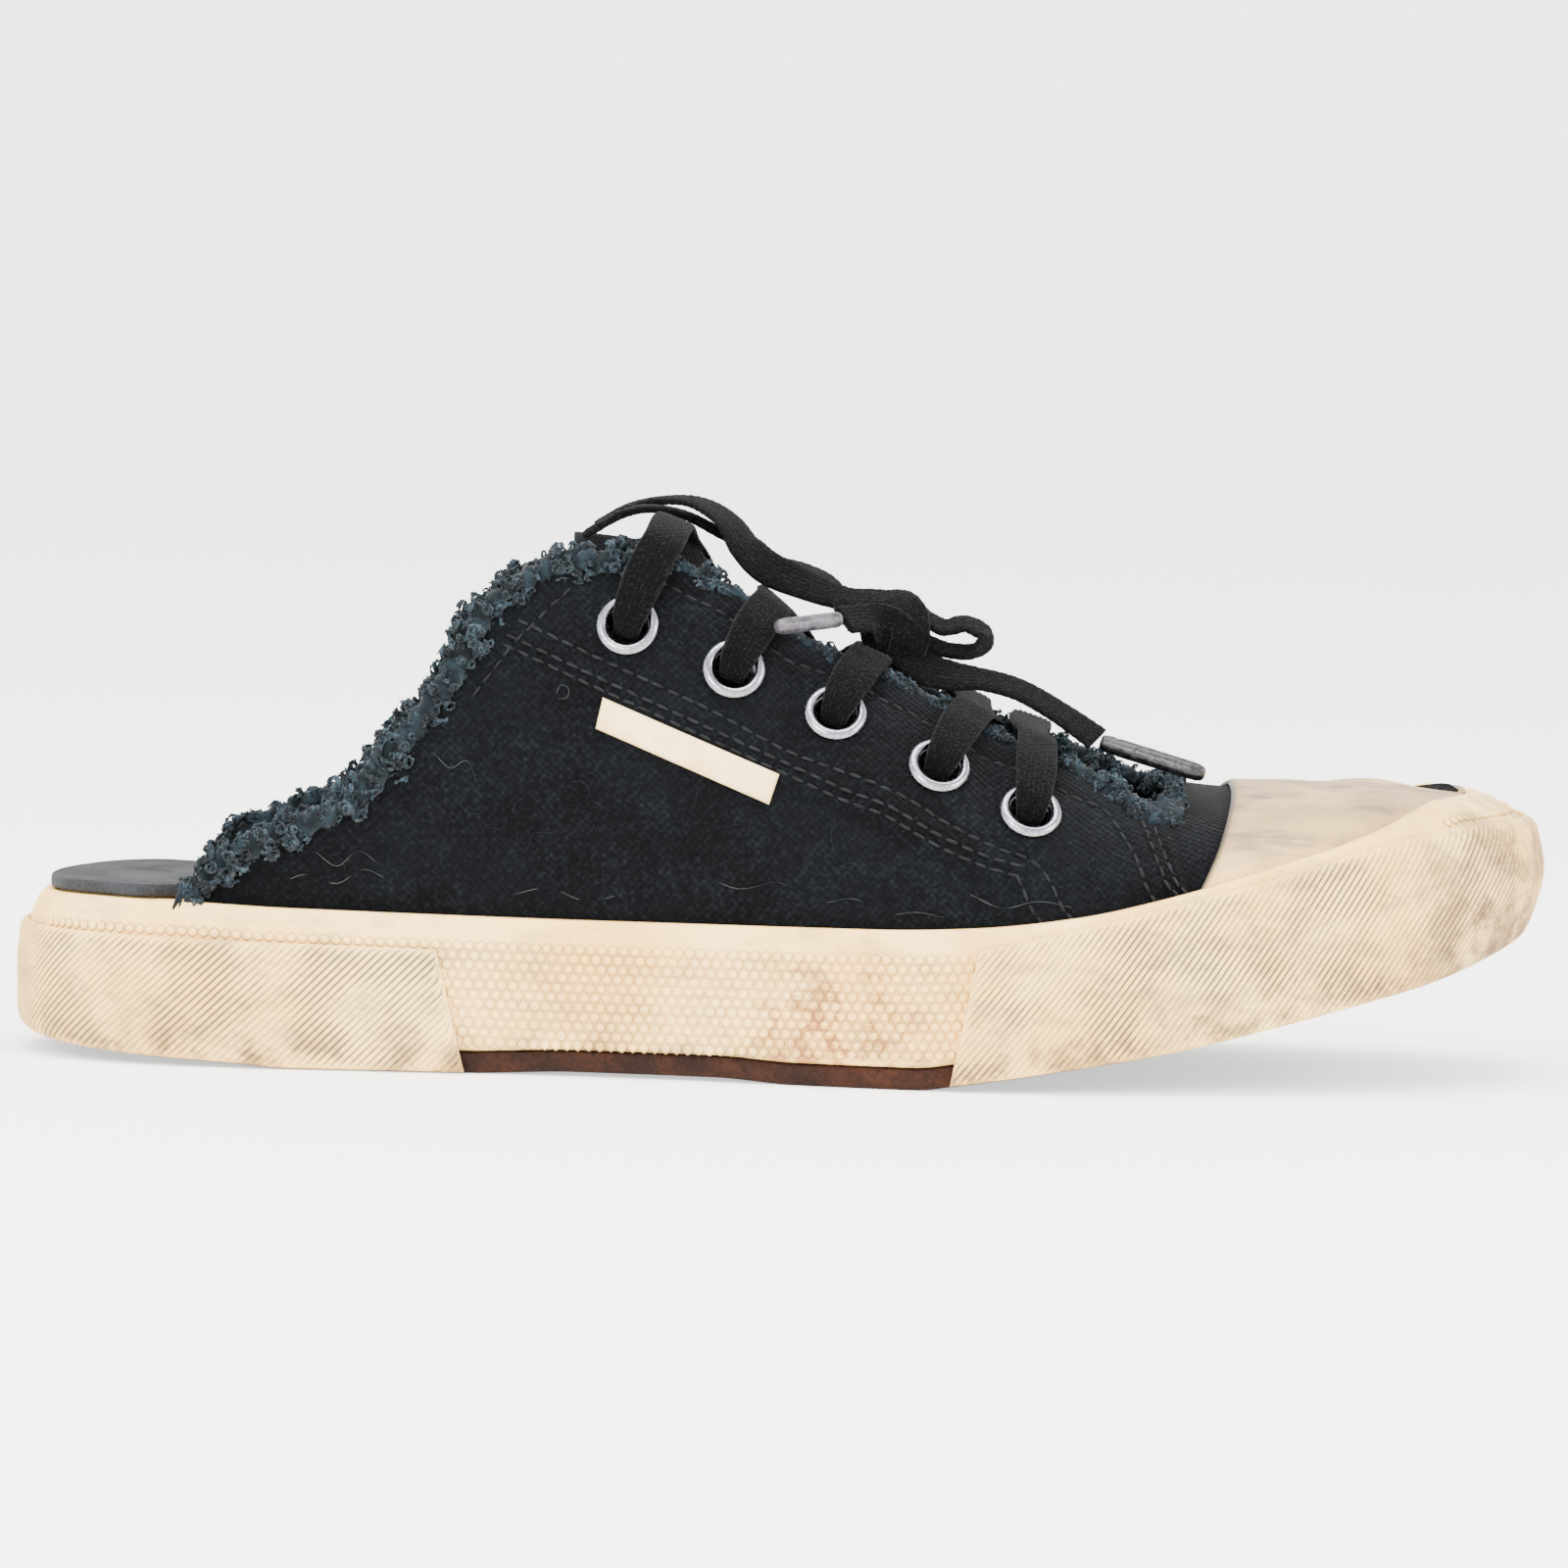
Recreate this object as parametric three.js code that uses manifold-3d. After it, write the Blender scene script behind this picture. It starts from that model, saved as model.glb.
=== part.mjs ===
// Right backless canvas sneaker, built in mm. +X runs to the toe, +Y to the inner (medial) side, +Z up.
// The upper, its toe cap, the tongue, the lace and the tab are all laid on one last surface (lastPoint).
import * as THREE from 'three';
import { mergeVertices } from 'three/addons/utils/BufferGeometryUtils.js';
import Module from 'manifold-3d';

const wasm = await Module();
wasm.setup();
const { Manifold, Mesh } = wasm;

// ---------- driving dimensions ----------
const GAP = 0.3;            // air left between neighbouring pieces
const RING = 68;            // points round the sole outline, heel tip first, toe tip at RING / 2
const CANVAS = 1.8;         // wall of the upper
const CAP = 0.95;           // wall of the toe cap
const CAP_ROOM = 1.55;      // space for it between the upper and the foxing rim
const CAP_AIR = 0.42;       // cap above the upper: GAP and the sag of its facets
const OUTSOLE = 4.0;        // brown rubber plate
const BUMPER = 1.4;         // ribbed bands round heel and toe
const BUMPER_FOOT = 0.35;   // they stop this far above the tread
const BUMPER_PLAY = 0.12;   // more than GAP, for the wall's facets
const RIM = 2.6;            // width of the foxing rim round the feather line
const TUCK = 7;             // how far the upper runs down inside the foxing
const INSOLE = 2.4;
const TONGUE = 2.2;
const TONGUE_DROP = 5.6;    // tongue face below the outer face of the upper
const TONGUE_HALF = [26, 35];   // half width at the top end and at the toe end
const TONGUE_X = [-41, 84];
const STATIONS = { upper: 24, cap: 10, arch: 14 };  // steps along the last and over it
const TIP_U = 0.9915;       // the last is closed here, just short of the toe tip
const LACE_W = 8.2;
const LACE_T = 1.9;
const EYELET = { r: 6.0, bore: 3.6, barrel: 4.1, hole: 4.6, rim: 1.25, lift: 0.5, foot: -2.6 };
const EYELET_X = [-30.1, -9.8, 9.7, 29.5, 47.0];
const EYELET_Z = [84.8, 77.1, 69.2, 59.9, 51.8];

// outline of the sole seen from above
const PLAN = [[-145, 0], [-142.6, -14], [-135, -25.5], [-122, -33], [-104, -36.8], [-80, -37.6],
  [-50, -38.6], [-22, -42], [2, -47], [26, -51.6], [50, -52.4], [73, -50.2], [94, -45.6], [112, -39.2],
  [127, -30], [138, -17.5], [143.8, -4], [145.2, 8], [142.6, 21], [135, 33], [121, 43.2], [100, 50],
  [75, 53.4], [50, 53.2], [26, 49.6], [2, 43.6], [-22, 39.2], [-50, 37.4], [-80, 37.8], [-104, 37.4],
  [-122, 33.6], [-135, 26], [-142.6, 14.4]];
const TOE_TIP = [145.2, 8];
// profiles along the length: [x, z]
const BASE = [[-146, 4.6], [-142, 3.5], [-125, 1.8], [-103, 0.7], [-92, 0], [-60, 0], [-38, 0.8], [-12, 0.8],
  [4, 0], [26, 0], [34, 1.0], [44, 2.5], [57, 4.7], [75, 8.0], [93, 12.4], [112, 17.4], [131, 22.5],
  [141, 25.2], [147, 26.8]];
const FOX_TOP = [[-146, 30.8], [-129, 31.3], [-114, 31.2], [-92, 30.5], [-36, 29.7], [19, 30.1], [37, 30.9],
  [56, 33.2], [74, 37.3], [98, 44.5], [115, 49.8], [126, 53.2], [133, 54.7], [147, 54.9]];
const FLOOR = [[-146, 32], [-116, 31.5], [-107, 28.6], [-90, 26.6], [-50, 21.5], [0, 17.4], [40, 17.0],
  [60, 18.2], [80, 21.6], [100, 26.8], [120, 32.4], [147, 39]];
const CROWN = [[-120, 88], [-90, 99], [-60, 106], [-42, 107], [-31, 106.2], [-22, 104.2], [-11, 98.2],
  [3, 87.4], [20, 79.8], [32, 73.6], [43, 68.2], [54, 63.4], [64, 58.8], [76, 55.4], [86, 54.3], [95, 54.5],
  [114, 54.9], [123, 55.1], [129, 55.2], [140, 55.1]];
const SKEW = [[-120, 0], [-31, 0], [20, 2], [50, 4], [80, 5], [110, 4], [140, 0]];
const HEEL_BAND_TOP = [[-147, 24.9], [-100, 24.2], [-55, 23.4]];
const TOE_BAND_TOP = [[30, 25.8], [38, 27.1], [56, 31.2], [74, 36], [92.6, 41.1], [111, 46.5], [125, 49.6],
  [137, 50.8], [147, 50.6]];
// collar edge seen from the side, and throat edge seen from above
const COLLAR = [[-112, 31.0], [-107, 37.4], [-99.5, 42.4], [-92, 45.6], [-85, 48.8], [-79.5, 53.4],
  [-73.8, 60.8], [-68.8, 67], [-63.8, 74], [-60.6, 81.2], [-55.6, 87.8], [-48.6, 93.3], [-41.2, 97],
  [-31, 99.6], [-22, 98]];
const THROAT = [[-60, -20], [-31, -20.5], [-22, -20], [3, -20.5], [32, -22], [54, -23], [62, -25.5],
  [68, -28.5], [71.5, -30.5], [73.6, -27], [75, -14], [75.6, 4], [75, 20], [73.4, 32], [71, 35], [67.4, 32.6],
  [61, 30], [54, 28.4], [32, 26], [3, 23], [-22, 21], [-31, 21.5], [-60, 21]];

const COLOUR = { canvas: 0x1c2228, cream: 0xe6d9bd, brown: 0x5a3d2e, insole: 0x35363a, metal: 0xc4c6ca,
  lace: 0x16171a };

// ---------- small maths ----------
const clamp = (v, a, b) => Math.min(b, Math.max(a, v));
const mix = (a, b, t) => a + (b - a) * t;
function smooth(a, b, x) {
  const t = clamp((x - a) / (b - a), 0, 1);
  return t * t * (3 - 2 * t);
}
// place between lo and hi where below(place) stops being true
function bisect(lo, hi, below) {
  for (let k = 0; k < 40; k++) {
    const mid = (lo + hi) / 2;
    if (below(mid)) lo = mid;
    else hi = mid;
  }
  return (lo + hi) / 2;
}

// smooth monotone curve through [x, y] rows
function curve(rows) {
  const n = rows.length, d = [], m = [];
  for (let i = 0; i < n - 1; i++) d.push((rows[i + 1][1] - rows[i][1]) / (rows[i + 1][0] - rows[i][0]));
  for (let i = 0; i < n; i++) {
    const a = d[i - 1] ?? d[0], b = d[i] ?? d[n - 2];
    m.push(a * b <= 0 ? 0 : 2 * a * b / (a + b));
  }
  return (x) => {
    if (x <= rows[0][0]) return rows[0][1];
    if (x >= rows[n - 1][0]) return rows[n - 1][1];
    let i = 0;
    while (x > rows[i + 1][0]) i++;
    const h = rows[i + 1][0] - rows[i][0], t = (x - rows[i][0]) / h, s = 1 - t;
    return rows[i][1] * (1 + 2 * t) * s * s + m[i] * h * t * s * s
      + rows[i + 1][1] * t * t * (3 - 2 * t) - m[i + 1] * h * t * t * s;
  };
}
const base = curve(BASE), foxTop = curve(FOX_TOP), floorRow = curve(FLOOR), crown = curve(CROWN);
const skew = curve(SKEW), heelBandTop = curve(HEEL_BAND_TOP), toeBandTop = curve(TOE_BAND_TOP);

// ---------- outline ----------
const corners = PLAN.map(([x, y]) => new THREE.Vector3(x, y, 0));
const loop = new THREE.CatmullRomCurve3(corners, true, 'centripetal');
const DENSE = loop.getSpacedPoints(1600).slice(0, 1600);
const tipAt = DENSE.reduce((best, p, i) => {
  const far = (q) => Math.hypot(q.x - TOE_TIP[0], q.y - TOE_TIP[1]);
  return far(p) < far(DENSE[best]) ? i : best;
}, 0);

// place along the inner side that lies straight across from place i of the outer side
const ACROSS = Array.from({ length: tipAt + 1 }, () => 0);
for (let i = 1, j = 0; i <= tipAt; i++) {
  const n = DENSE.length;
  while (j < n - tipAt - 1 && DENSE[(n - j - 1) % n].x < DENSE[i].x) j++;
  const a = DENSE[(n - j) % n].x, b = DENSE[(n - j - 1) % n].x;
  ACROSS[i] = i === tipAt ? n - tipAt : j + clamp((DENSE[i].x - a) / Math.max(1e-6, b - a), 0, 1);
}

// point of the outline: u from heel tip (0) to toe tip (1), side -1 outer or +1 inner, pulled in by inset
function plan(u, side, inset) {
  const n = DENSE.length, w = u * tipAt, k = Math.min(Math.floor(w), tipAt - 1);
  const at = side < 0 ? w : n - mix(ACROSS[k], ACROSS[k + 1], w - k);
  const i = Math.floor(at), t = at - i;
  const a = DENSE[(i + n) % n], b = DENSE[(i + 1) % n];
  const p = DENSE[(i - 6 + n) % n], q = DENSE[(i + 7) % n];
  const dx = q.x - p.x, dy = q.y - p.y, l = Math.hypot(dx, dy);
  return [mix(a.x, b.x, t) - dy / l * inset, mix(a.y, b.y, t) + dx / l * inset];
}
const ringU = (i) => (i <= RING / 2 ? [i / (RING / 2), -1] : [(RING - i) / (RING / 2), 1]);

// ---------- foxing wall ----------
const toeLean = (x) => smooth(104, 143, x);
const heelLean = (x) => smooth(-118, -143, x);
// how far the wall stands inside the outline, at height z above the floor
function wallInset(x, z) {
  const t = toeLean(x), h = heelLean(x), d = foxTop(x) - z, up = z - base(x);
  const over = curve([[0, 1.0 + 9.5 * t + 2.6 * h], [2, 0.5 + 5.5 * t + 1.5 * h],
    [6, 0.15 + 1.6 * t + 0.6 * h], [13, 0]])(d);
  const tuck = curve([[0, 0.9 + 4.2 * smooth(118, 144, x) + 0.5 * h], [3, 0.3 + 2.6 * smooth(118, 144, x)],
    [12, 0]])(up);
  return over + tuck;
}
const rimInset = (x) => wallInset(x, foxTop(x)) + RIM;
const floorZ = (x) => Math.min(foxTop(x) - 0.1, floorRow(x));
const capZone = (x) => smooth(56, 78, x);
const featherInset = (x) => rimInset(x) + GAP + CAP_ROOM * capZone(x);

// ring of points; at(x) gives {z, inset}
function ring(at) {
  const out = [];
  for (let i = 0; i < RING; i++) {
    const [u, side] = ringU(i);
    const [x0] = plan(u, side, 0);
    const { z, inset } = at(x0);
    const [x, y] = plan(u, side, inset);
    out.push([x, y, z]);
  }
  return out;
}

// ---------- meshes ----------
function volumeOf(pos, idx) {
  let v = 0;
  for (let i = 0; i < idx.length; i += 3) {
    const [a, b, c] = [pos[idx[i]], pos[idx[i + 1]], pos[idx[i + 2]]];
    v += a[0] * (b[1] * c[2] - b[2] * c[1]) + a[1] * (b[2] * c[0] - b[0] * c[2])
      + a[2] * (b[0] * c[1] - b[1] * c[0]);
  }
  return v / 6;
}
function facing(pos, idx) {
  if (volumeOf(pos, idx) >= 0) return { pos, idx };
  const flip = [];
  for (let i = 0; i < idx.length; i += 3) flip.push(idx[i], idx[i + 2], idx[i + 1]);
  return { pos, idx: flip };
}
// triangles between equal rings
function walls(rings) {
  const n = rings[0].length, idx = [];
  for (let r = 0; r < rings.length - 1; r++) {
    for (let i = 0; i < n; i++) {
      const a = r * n + i, b = r * n + (i + 1) % n;
      idx.push(a, b, b + n, a, b + n, a + n);
    }
  }
  return idx;
}
// closed skin over equal rings, each end capped by strips across the ring
function skin(rings) {
  const n = rings[0].length, idx = walls(rings);
  capStrips(idx, 0, n, true);
  capStrips(idx, (rings.length - 1) * n, n, false);
  return facing(rings.flat(), idx);
}
function capStrips(idx, start, n, down) {
  const tri = (a, b, c) => (down ? idx.push(start + a, start + c, start + b)
    : idx.push(start + a, start + b, start + c));
  let a = 0, b = n;
  while (b - a > 2) {
    const lo = a, hi = b % n;
    tri(lo, a + 1, b - 1);
    if (lo !== hi) tri(lo, b - 1, hi);
    a += 1;
    b -= 1;
  }
  tri(a, a + 1, b);
}
// skin over rings with flat fan caps (small convex ends)
function tube(rings) {
  const n = rings[0].length, idx = walls(rings), last = (rings.length - 1) * n;
  for (let i = 1; i < n - 1; i++) idx.push(0, i + 1, i, last, last + i, last + i + 1);
  return facing(rings.flat(), idx);
}
function solid({ pos, idx }) {
  return new Manifold(new Mesh({
    numProp: 3, vertProperties: new Float32Array(pos.flat()), triVerts: new Uint32Array(idx),
  }));
}
// any closed three.js geometry as { pos, idx }
function shell(geometry) {
  const g = geometry.clone();
  g.deleteAttribute('normal');
  g.deleteAttribute('uv');
  const merged = mergeVertices(g, 1e-3), a = merged.getAttribute('position'), pos = [];
  for (let i = 0; i < a.count; i++) pos.push([a.getX(i), a.getY(i), a.getZ(i)]);
  return facing(pos, [...merged.index.array]);
}
const outlineOf = (points) => new THREE.Shape(points.map(([x, y]) => new THREE.Vector2(x, y)));
function prismZ(points, z0, z1) {
  const g = new THREE.ExtrudeGeometry(outlineOf(points), { depth: z1 - z0, bevelEnabled: false });
  return solid(shell(g.translate(0, 0, z0)));
}
function prismY(points, y0, y1) {
  const g = new THREE.ExtrudeGeometry(outlineOf(points), { depth: y1 - y0, bevelEnabled: false });
  return solid(shell(g.rotateX(Math.PI / 2).translate(0, y1, 0)));
}

// ---------- last surface ----------
// u as for plan, phi -90 (outer feather) to 90 (inner feather), off outwards
function lastPoint(u, phi, off) {
  const [ax0] = plan(u, -1, 0), [bx0] = plan(u, 1, 0);
  const [ax, ay] = plan(u, -1, featherInset(ax0) - off);
  const [bx, by] = plan(u, 1, featherInset(bx0) - off);
  const x = (ax + bx) / 2, foot = footZ(x), top = Math.max(crown(x), foot + 0.4) + off;
  const r = Math.abs(phi) * Math.PI / 180;
  const across = Math.sign(phi) * Math.pow(Math.sin(r), 2 / 2.4), up = Math.cos(r);
  return [mix(ax, bx, (across + 1) / 2), mix(ay, by, (across + 1) / 2) + skew(x) * up * (1 - 0.3 * up),
    foot + (top - foot) * up];
}
const lowZ = (x) => Math.max(foxTop(x) - TUCK, floorZ(x) + 2 * GAP + 0.9 * smooth(-70, -104, x));
const footZ = (x) => Math.max(foxTop(x), lowZ(x) + 0.1);
const uAt = (x) => bisect(0, 1, (u) => lastPoint(u, 0, 0)[0] < x);
// phi whose height on the last is z at station x
function phiAt(x, z, side) {
  const foot = footZ(x), c = clamp((z - foot) / (crown(x) - foot), 0, 1);
  return side * Math.acos(c) * 180 / Math.PI;
}
// phi whose sideways place is y
function phiAtY(x, y) {
  const u = uAt(x);
  return bisect(-89, 89, (phi) => lastPoint(u, phi, 0)[1] < y);
}
// point standing off along the true normal, with that normal
function onLast(x, phi, off) {
  const u = uAt(x), v = (p) => new THREE.Vector3(...p);
  const p = v(lastPoint(u, phi, 0));
  const along = v(lastPoint(u + 0.004, phi, 0)).sub(v(lastPoint(u - 0.004, phi, 0))).normalize();
  const across = v(lastPoint(u, phi + 1, 0)).sub(v(lastPoint(u, phi - 1, 0))).normalize();
  const normal = along.clone().cross(across).normalize();
  return { p: p.addScaledVector(normal, off), normal };
}

// solid under the last surface from station x0 to the toe; drop lowers its underside
function lastSolid(x0, off, drop, stations) {
  const u0 = uAt(x0), rings = [];
  for (let s = 0; s <= stations; s++) {
    const u = mix(u0, TIP_U, 1 - Math.pow(1 - s / stations, 1.12)), row = [];
    for (let k = 0; k <= STATIONS.arch; k++) row.push(lastPoint(u, mix(-90, 90, k / STATIONS.arch), off));
    const low = lowZ(lastPoint(u, 0, 0)[0]) - drop;
    const [first, last] = [row[0], row[row.length - 1]];
    rings.push([[first[0], first[1], low], ...row, [last[0], last[1], low]]);
  }
  return solid(tube(rings));
}

// ---------- pieces of the sole ----------
function outsole() {
  const at = (lift, extra) => (x) => ({ z: base(x) + lift, inset: wallInset(x, base(x) + 2) + 0.45 + extra });
  return skin([ring(at(0, 1.0)), ring(at(0.9, 0.1)), ring(at(OUTSOLE, 0))]);
}
function foxing() {
  const wall = (lift) => (x) => ({ z: base(x) + lift, inset: wallInset(x, base(x) + lift) });
  const below = (drop) => (x) => ({ z: foxTop(x) - drop, inset: wallInset(x, foxTop(x) - drop) });
  return skin([
    ring((x) => ({ z: base(x) + OUTSOLE + GAP, inset: wallInset(x, base(x) + 2) + 0.55 })),
    ring(wall(OUTSOLE + 1)), ring(wall(13)), ring(below(7)), ring(below(2)), ring(below(0.5)),
    ring((x) => ({ z: foxTop(x), inset: wallInset(x, foxTop(x)) + 0.5 })),
    ring((x) => ({ z: foxTop(x) - 0.05, inset: rimInset(x) })),
    ring((x) => ({ z: floorZ(x), inset: rimInset(x) + 0.05 })),
  ]);
}
const insoleInset = (x) => mix(wallInset(x, foxTop(x)) + 0.9, featherInset(x) + CANVAS + GAP + 0.2,
  smooth(-124, -115, x));
function insole() {
  const under = (x) => Math.min(foxTop(x) + GAP, floorZ(x) + GAP + 0.12);
  const at = (lift, extra) => (x) => ({ z: (x < -114 ? foxTop(x) + GAP : under(x)) + lift,
    inset: insoleInset(x) + extra });
  return skin([ring(at(0, 0.2)), ring(at(INSOLE - 0.5, 0)), ring(at(INSOLE, 0.6))]);
}
// band wrapped round the wall between two slanted ends; t counts ring points from the given tip
function band(top, endTop, endLow, steps, toe) {
  const rings = [], heights = [0, 0.12, 0.45, 0.8, 1];
  for (let s = 0; s <= steps; s++) {
    const f = s / steps * 2 - 1, side = f < 0 ? -1 : 1;
    const at = (v, proud) => {
      const end = bisect(0, 1, (u) => plan(u, side, 0)[0] < mix(endLow, endTop, v));
      const u = toe ? mix(1, end, Math.abs(f)) : end * Math.abs(f);
      const [x0] = plan(u, side, 0), z = mix(base(x0) + BUMPER_FOOT, top(x0), v);
      const inset = wallInset(x0, z) - GAP - BUMPER_PLAY - 0.6 * toeLean(x0) - proud;
      return [...plan(u, side, inset), z];
    };
    const front = heights.map((v) => at(v, v === 0 || v === 1 ? BUMPER / 2 : BUMPER));
    const behind = heights.map((v) => at(v, 0)).reverse();
    rings.push([...front, ...behind]);
  }
  return tube(rings);
}

// ---------- pieces of the upper ----------
function collarCut() {
  const pts = [...COLLAR, [-22, 150], [-160, 150], [-160, 10], [-112, 10]];
  return prismY(pts, -90, 90);
}
const throatCut = () => prismZ(THROAT, 44, 150);
function eyeletPlace(k, side) {
  return onLast(EYELET_X[k], phiAt(EYELET_X[k], EYELET_Z[k], side), 0);
}
function punch(k, side) {
  const { p, normal } = eyeletPlace(k, side);
  const q = new THREE.Quaternion().setFromUnitVectors(new THREE.Vector3(0, 1, 0), normal);
  const g = new THREE.CylinderGeometry(EYELET.hole, EYELET.hole, 12, 12);
  return solid(shell(g.applyQuaternion(q).translate(p.x, p.y, p.z)));
}
function upper() {
  const outer = lastSolid(-118, 0, 0, STATIONS.upper), inner = lastSolid(-121, -CANVAS, 12, STATIONS.upper);
  let wall = outer.subtract(inner).subtract(collarCut()).subtract(throatCut());
  EYELET_X.forEach((_, k) => {
    wall = wall.subtract(punch(k, -1)).subtract(punch(k, 1));
  });
  return wall;
}
// rear edge of the cap from the side, [z, x], and how far its skirt stays above that of the upper
const CAP_REAR = curve([[34, 77.2], [38.4, 79], [46, 82.4], [55.4, 86.1], [60, 87.2]]);
const CAP_FOOT = 3;
function toeCap() {
  const steps = STATIONS.cap, rings = [];
  const phis = Array.from({ length: STATIONS.arch + 1 }, (_, k) => mix(-90, 90, k / STATIONS.arch));
  const rear = phis.map((phi) => {
    let x = CAP_REAR(50);
    for (let k = 0; k < 6; k++) x = CAP_REAR(lastPoint(uAt(x), phi, CAP_AIR + CAP)[2]);
    return uAt(x);
  });
  for (let s = 0; s <= steps; s++) {
    const row = (off) => {
      const points = phis.map((phi, k) => lastPoint(mix(rear[k], TIP_U, s / steps), phi, off));
      const [a, b] = [points[0], points[points.length - 1]];
      const skirt = ([x, y]) => [x, y, lowZ(x) + CAP_FOOT];
      return [skirt(a), ...points, skirt(b)];
    };
    rings.push([...row(CAP_AIR + CAP), ...row(CAP_AIR).reverse()]);
  }
  return skinStrip(rings);
}
function tongue() {
  const long = 14, wide = 7, rings = [], shares = Array.from({ length: wide + 1 }, (_, k) => k / wide);
  for (let i = 0; i <= long; i++) {
    const x = mix(...TONGUE_X, i / long), half = mix(...TONGUE_HALF, i / long);
    const [lo, hi] = [-half, half].map((y) => phiAtY(x, skew(x) * 0.7 + y));
    const row = (off) => shares.map((s) => onLast(x, mix(lo, hi, s), off).p.toArray());
    rings.push([...row(-TONGUE_DROP), ...row(-TONGUE_DROP - TONGUE).reverse()]);
  }
  return skinStrip(rings);
}
// closed skin over flat rows whose ends are strips between their two halves
function skinStrip(rings) {
  const n = rings[0].length, idx = walls(rings), last = (rings.length - 1) * n;
  for (let i = 0; i < n / 2 - 1; i++) {
    const j = n - 1 - i;
    idx.push(i, j, j - 1, i, j - 1, i + 1);
    idx.push(last + i, last + j - 1, last + j, last + i, last + i + 1, last + j - 1);
  }
  return facing(rings.flat(), idx);
}
// rubber tab on the outer side: its corners from the side, and how far it stands off the last
const TAB = { top: [[-34.4, 71.4], [-0.6, 58]], low: [[-35.6, 65.6], [-2.4, 52.4]], back: 0.45, edge: 1.4,
  face: 1.75 };
function tab() {
  const { back, edge, face } = TAB, steps = 8, rings = [];
  for (let i = 0; i <= steps; i++) {
    const along = ([a, b]) => [mix(a[0], b[0], i / steps), mix(a[1], b[1], i / steps)];
    const [low, top] = [along(TAB.low), along(TAB.top)];
    const at = (v, off) => {
      const x = mix(low[0], top[0], v), z = mix(low[1], top[1], v);
      return onLast(x, phiAt(x, z, -1), off).p.toArray();
    };
    rings.push([at(0, back), at(0, edge), at(0.15, face), at(0.85, face), at(1, edge), at(1, back)]);
  }
  return tube(rings);
}
function eyelet(k, side) {
  const { r, bore, barrel, rim, lift, foot } = EYELET;
  const rows = [[bore, foot], [barrel, foot], [barrel, lift], [r, lift], [r - 0.8, lift + rim],
    [bore, lift + rim * 0.4]];
  const { p, normal } = eyeletPlace(k, side);
  const q = new THREE.Quaternion().setFromUnitVectors(new THREE.Vector3(0, 0, 1), normal);
  const N = 12, pos = [], idx = [], m = rows.length;
  for (let a = 0; a < N; a++) {
    const w = a / N * Math.PI * 2;
    for (const [rad, h] of rows) {
      const at = new THREE.Vector3(rad * Math.cos(w), rad * Math.sin(w), h);
      pos.push(at.applyQuaternion(q).add(p).toArray());
    }
  }
  for (let a = 0; a < N; a++) {
    for (let j = 0; j < m; j++) {
      const b = (a + 1) % N, l = (j + 1) % m;
      idx.push(a * m + j, b * m + j, b * m + l, a * m + j, b * m + l, a * m + l);
    }
  }
  return facing(pos, idx);
}

// ---------- lace ----------
// flat ribbon along points, each {p, n, w}: place, face normal, width
function ribbon(points, t = LACE_T) {
  const rings = points.map(({ p, n, w }, i) => {
    const a = points[Math.max(0, i - 1)].p, b = points[Math.min(points.length - 1, i + 1)].p;
    const dir = b.clone().sub(a).normalize(), side = dir.clone().cross(n).normalize();
    const up = side.clone().cross(dir).normalize();
    return [[-0.5, 0], [-0.32, -0.5], [0.32, -0.5], [0.5, 0], [0.32, 0.5], [-0.32, 0.5]].map(([s, h]) =>
      p.clone().addScaledVector(side, s * w).addScaledVector(up, h * t).toArray());
  });
  return tube(rings);
}
// resample a few guide points into an even ribbon
function smoothRibbon(guides, steps, t) {
  const path = new THREE.CatmullRomCurve3(guides.map((g) => g.p), false, 'centripetal');
  const pts = [];
  for (let i = 0; i <= steps; i++) {
    const f = i / steps, s = f * (guides.length - 1), k = Math.min(Math.floor(s), guides.length - 2);
    const g = guides[k], h = guides[k + 1];
    pts.push({ p: path.getPoint(f), n: g.n.clone().lerp(h.n, s - k).normalize(), w: mix(g.w, h.w, s - k) });
  }
  return ribbon(pts, t);
}
// guide points from inside eyelet k on one side, out over its ring and up to the throat edge
function strapGuides(k, side, leanX, slack = 0) {
  const { p, normal } = eyeletPlace(k, side), x = EYELET_X[k], z = EYELET_Z[k];
  const phi0 = phiAt(x, z, side), over = EYELET.lift + EYELET.rim + GAP + LACE_T / 2 + 0.2;
  const edge = phiAtY(x + leanX, throatEdge(x + leanX, side));
  const g = (t, off, w) => {
    const q = onLast(x + leanX * t, mix(phi0, edge, t), off);
    return { p: q.p, n: q.normal, w };
  };
  const dir = g(0.5, 0, 0).p.clone().sub(p).normalize();
  const dip = (along, off, w) => ({ p: p.clone().addScaledVector(normal, off).addScaledVector(dir, along),
    n: normal.clone().addScaledVector(dir, -1.2).normalize(), w });
  const outside = [dip(-0.9, -1.2, 5.0), dip(-0.3, 1.0, 5.2), dip(1.6, over - 0.1, 6.2)];
  return [...outside, g(0.5, over + 0.35 + slack * 0.3, LACE_W), g(0.8, over + slack * 0.8, LACE_W),
    g(1.06, over - 0.4 + slack, LACE_W)];
}
const THROAT_OUT = curve(THROAT.slice(0, 9)), THROAT_IN = curve(THROAT.slice(14).reverse());
const throatEdge = (x, side) => (side < 0 ? THROAT_OUT(x) : THROAT_IN(x));
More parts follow.
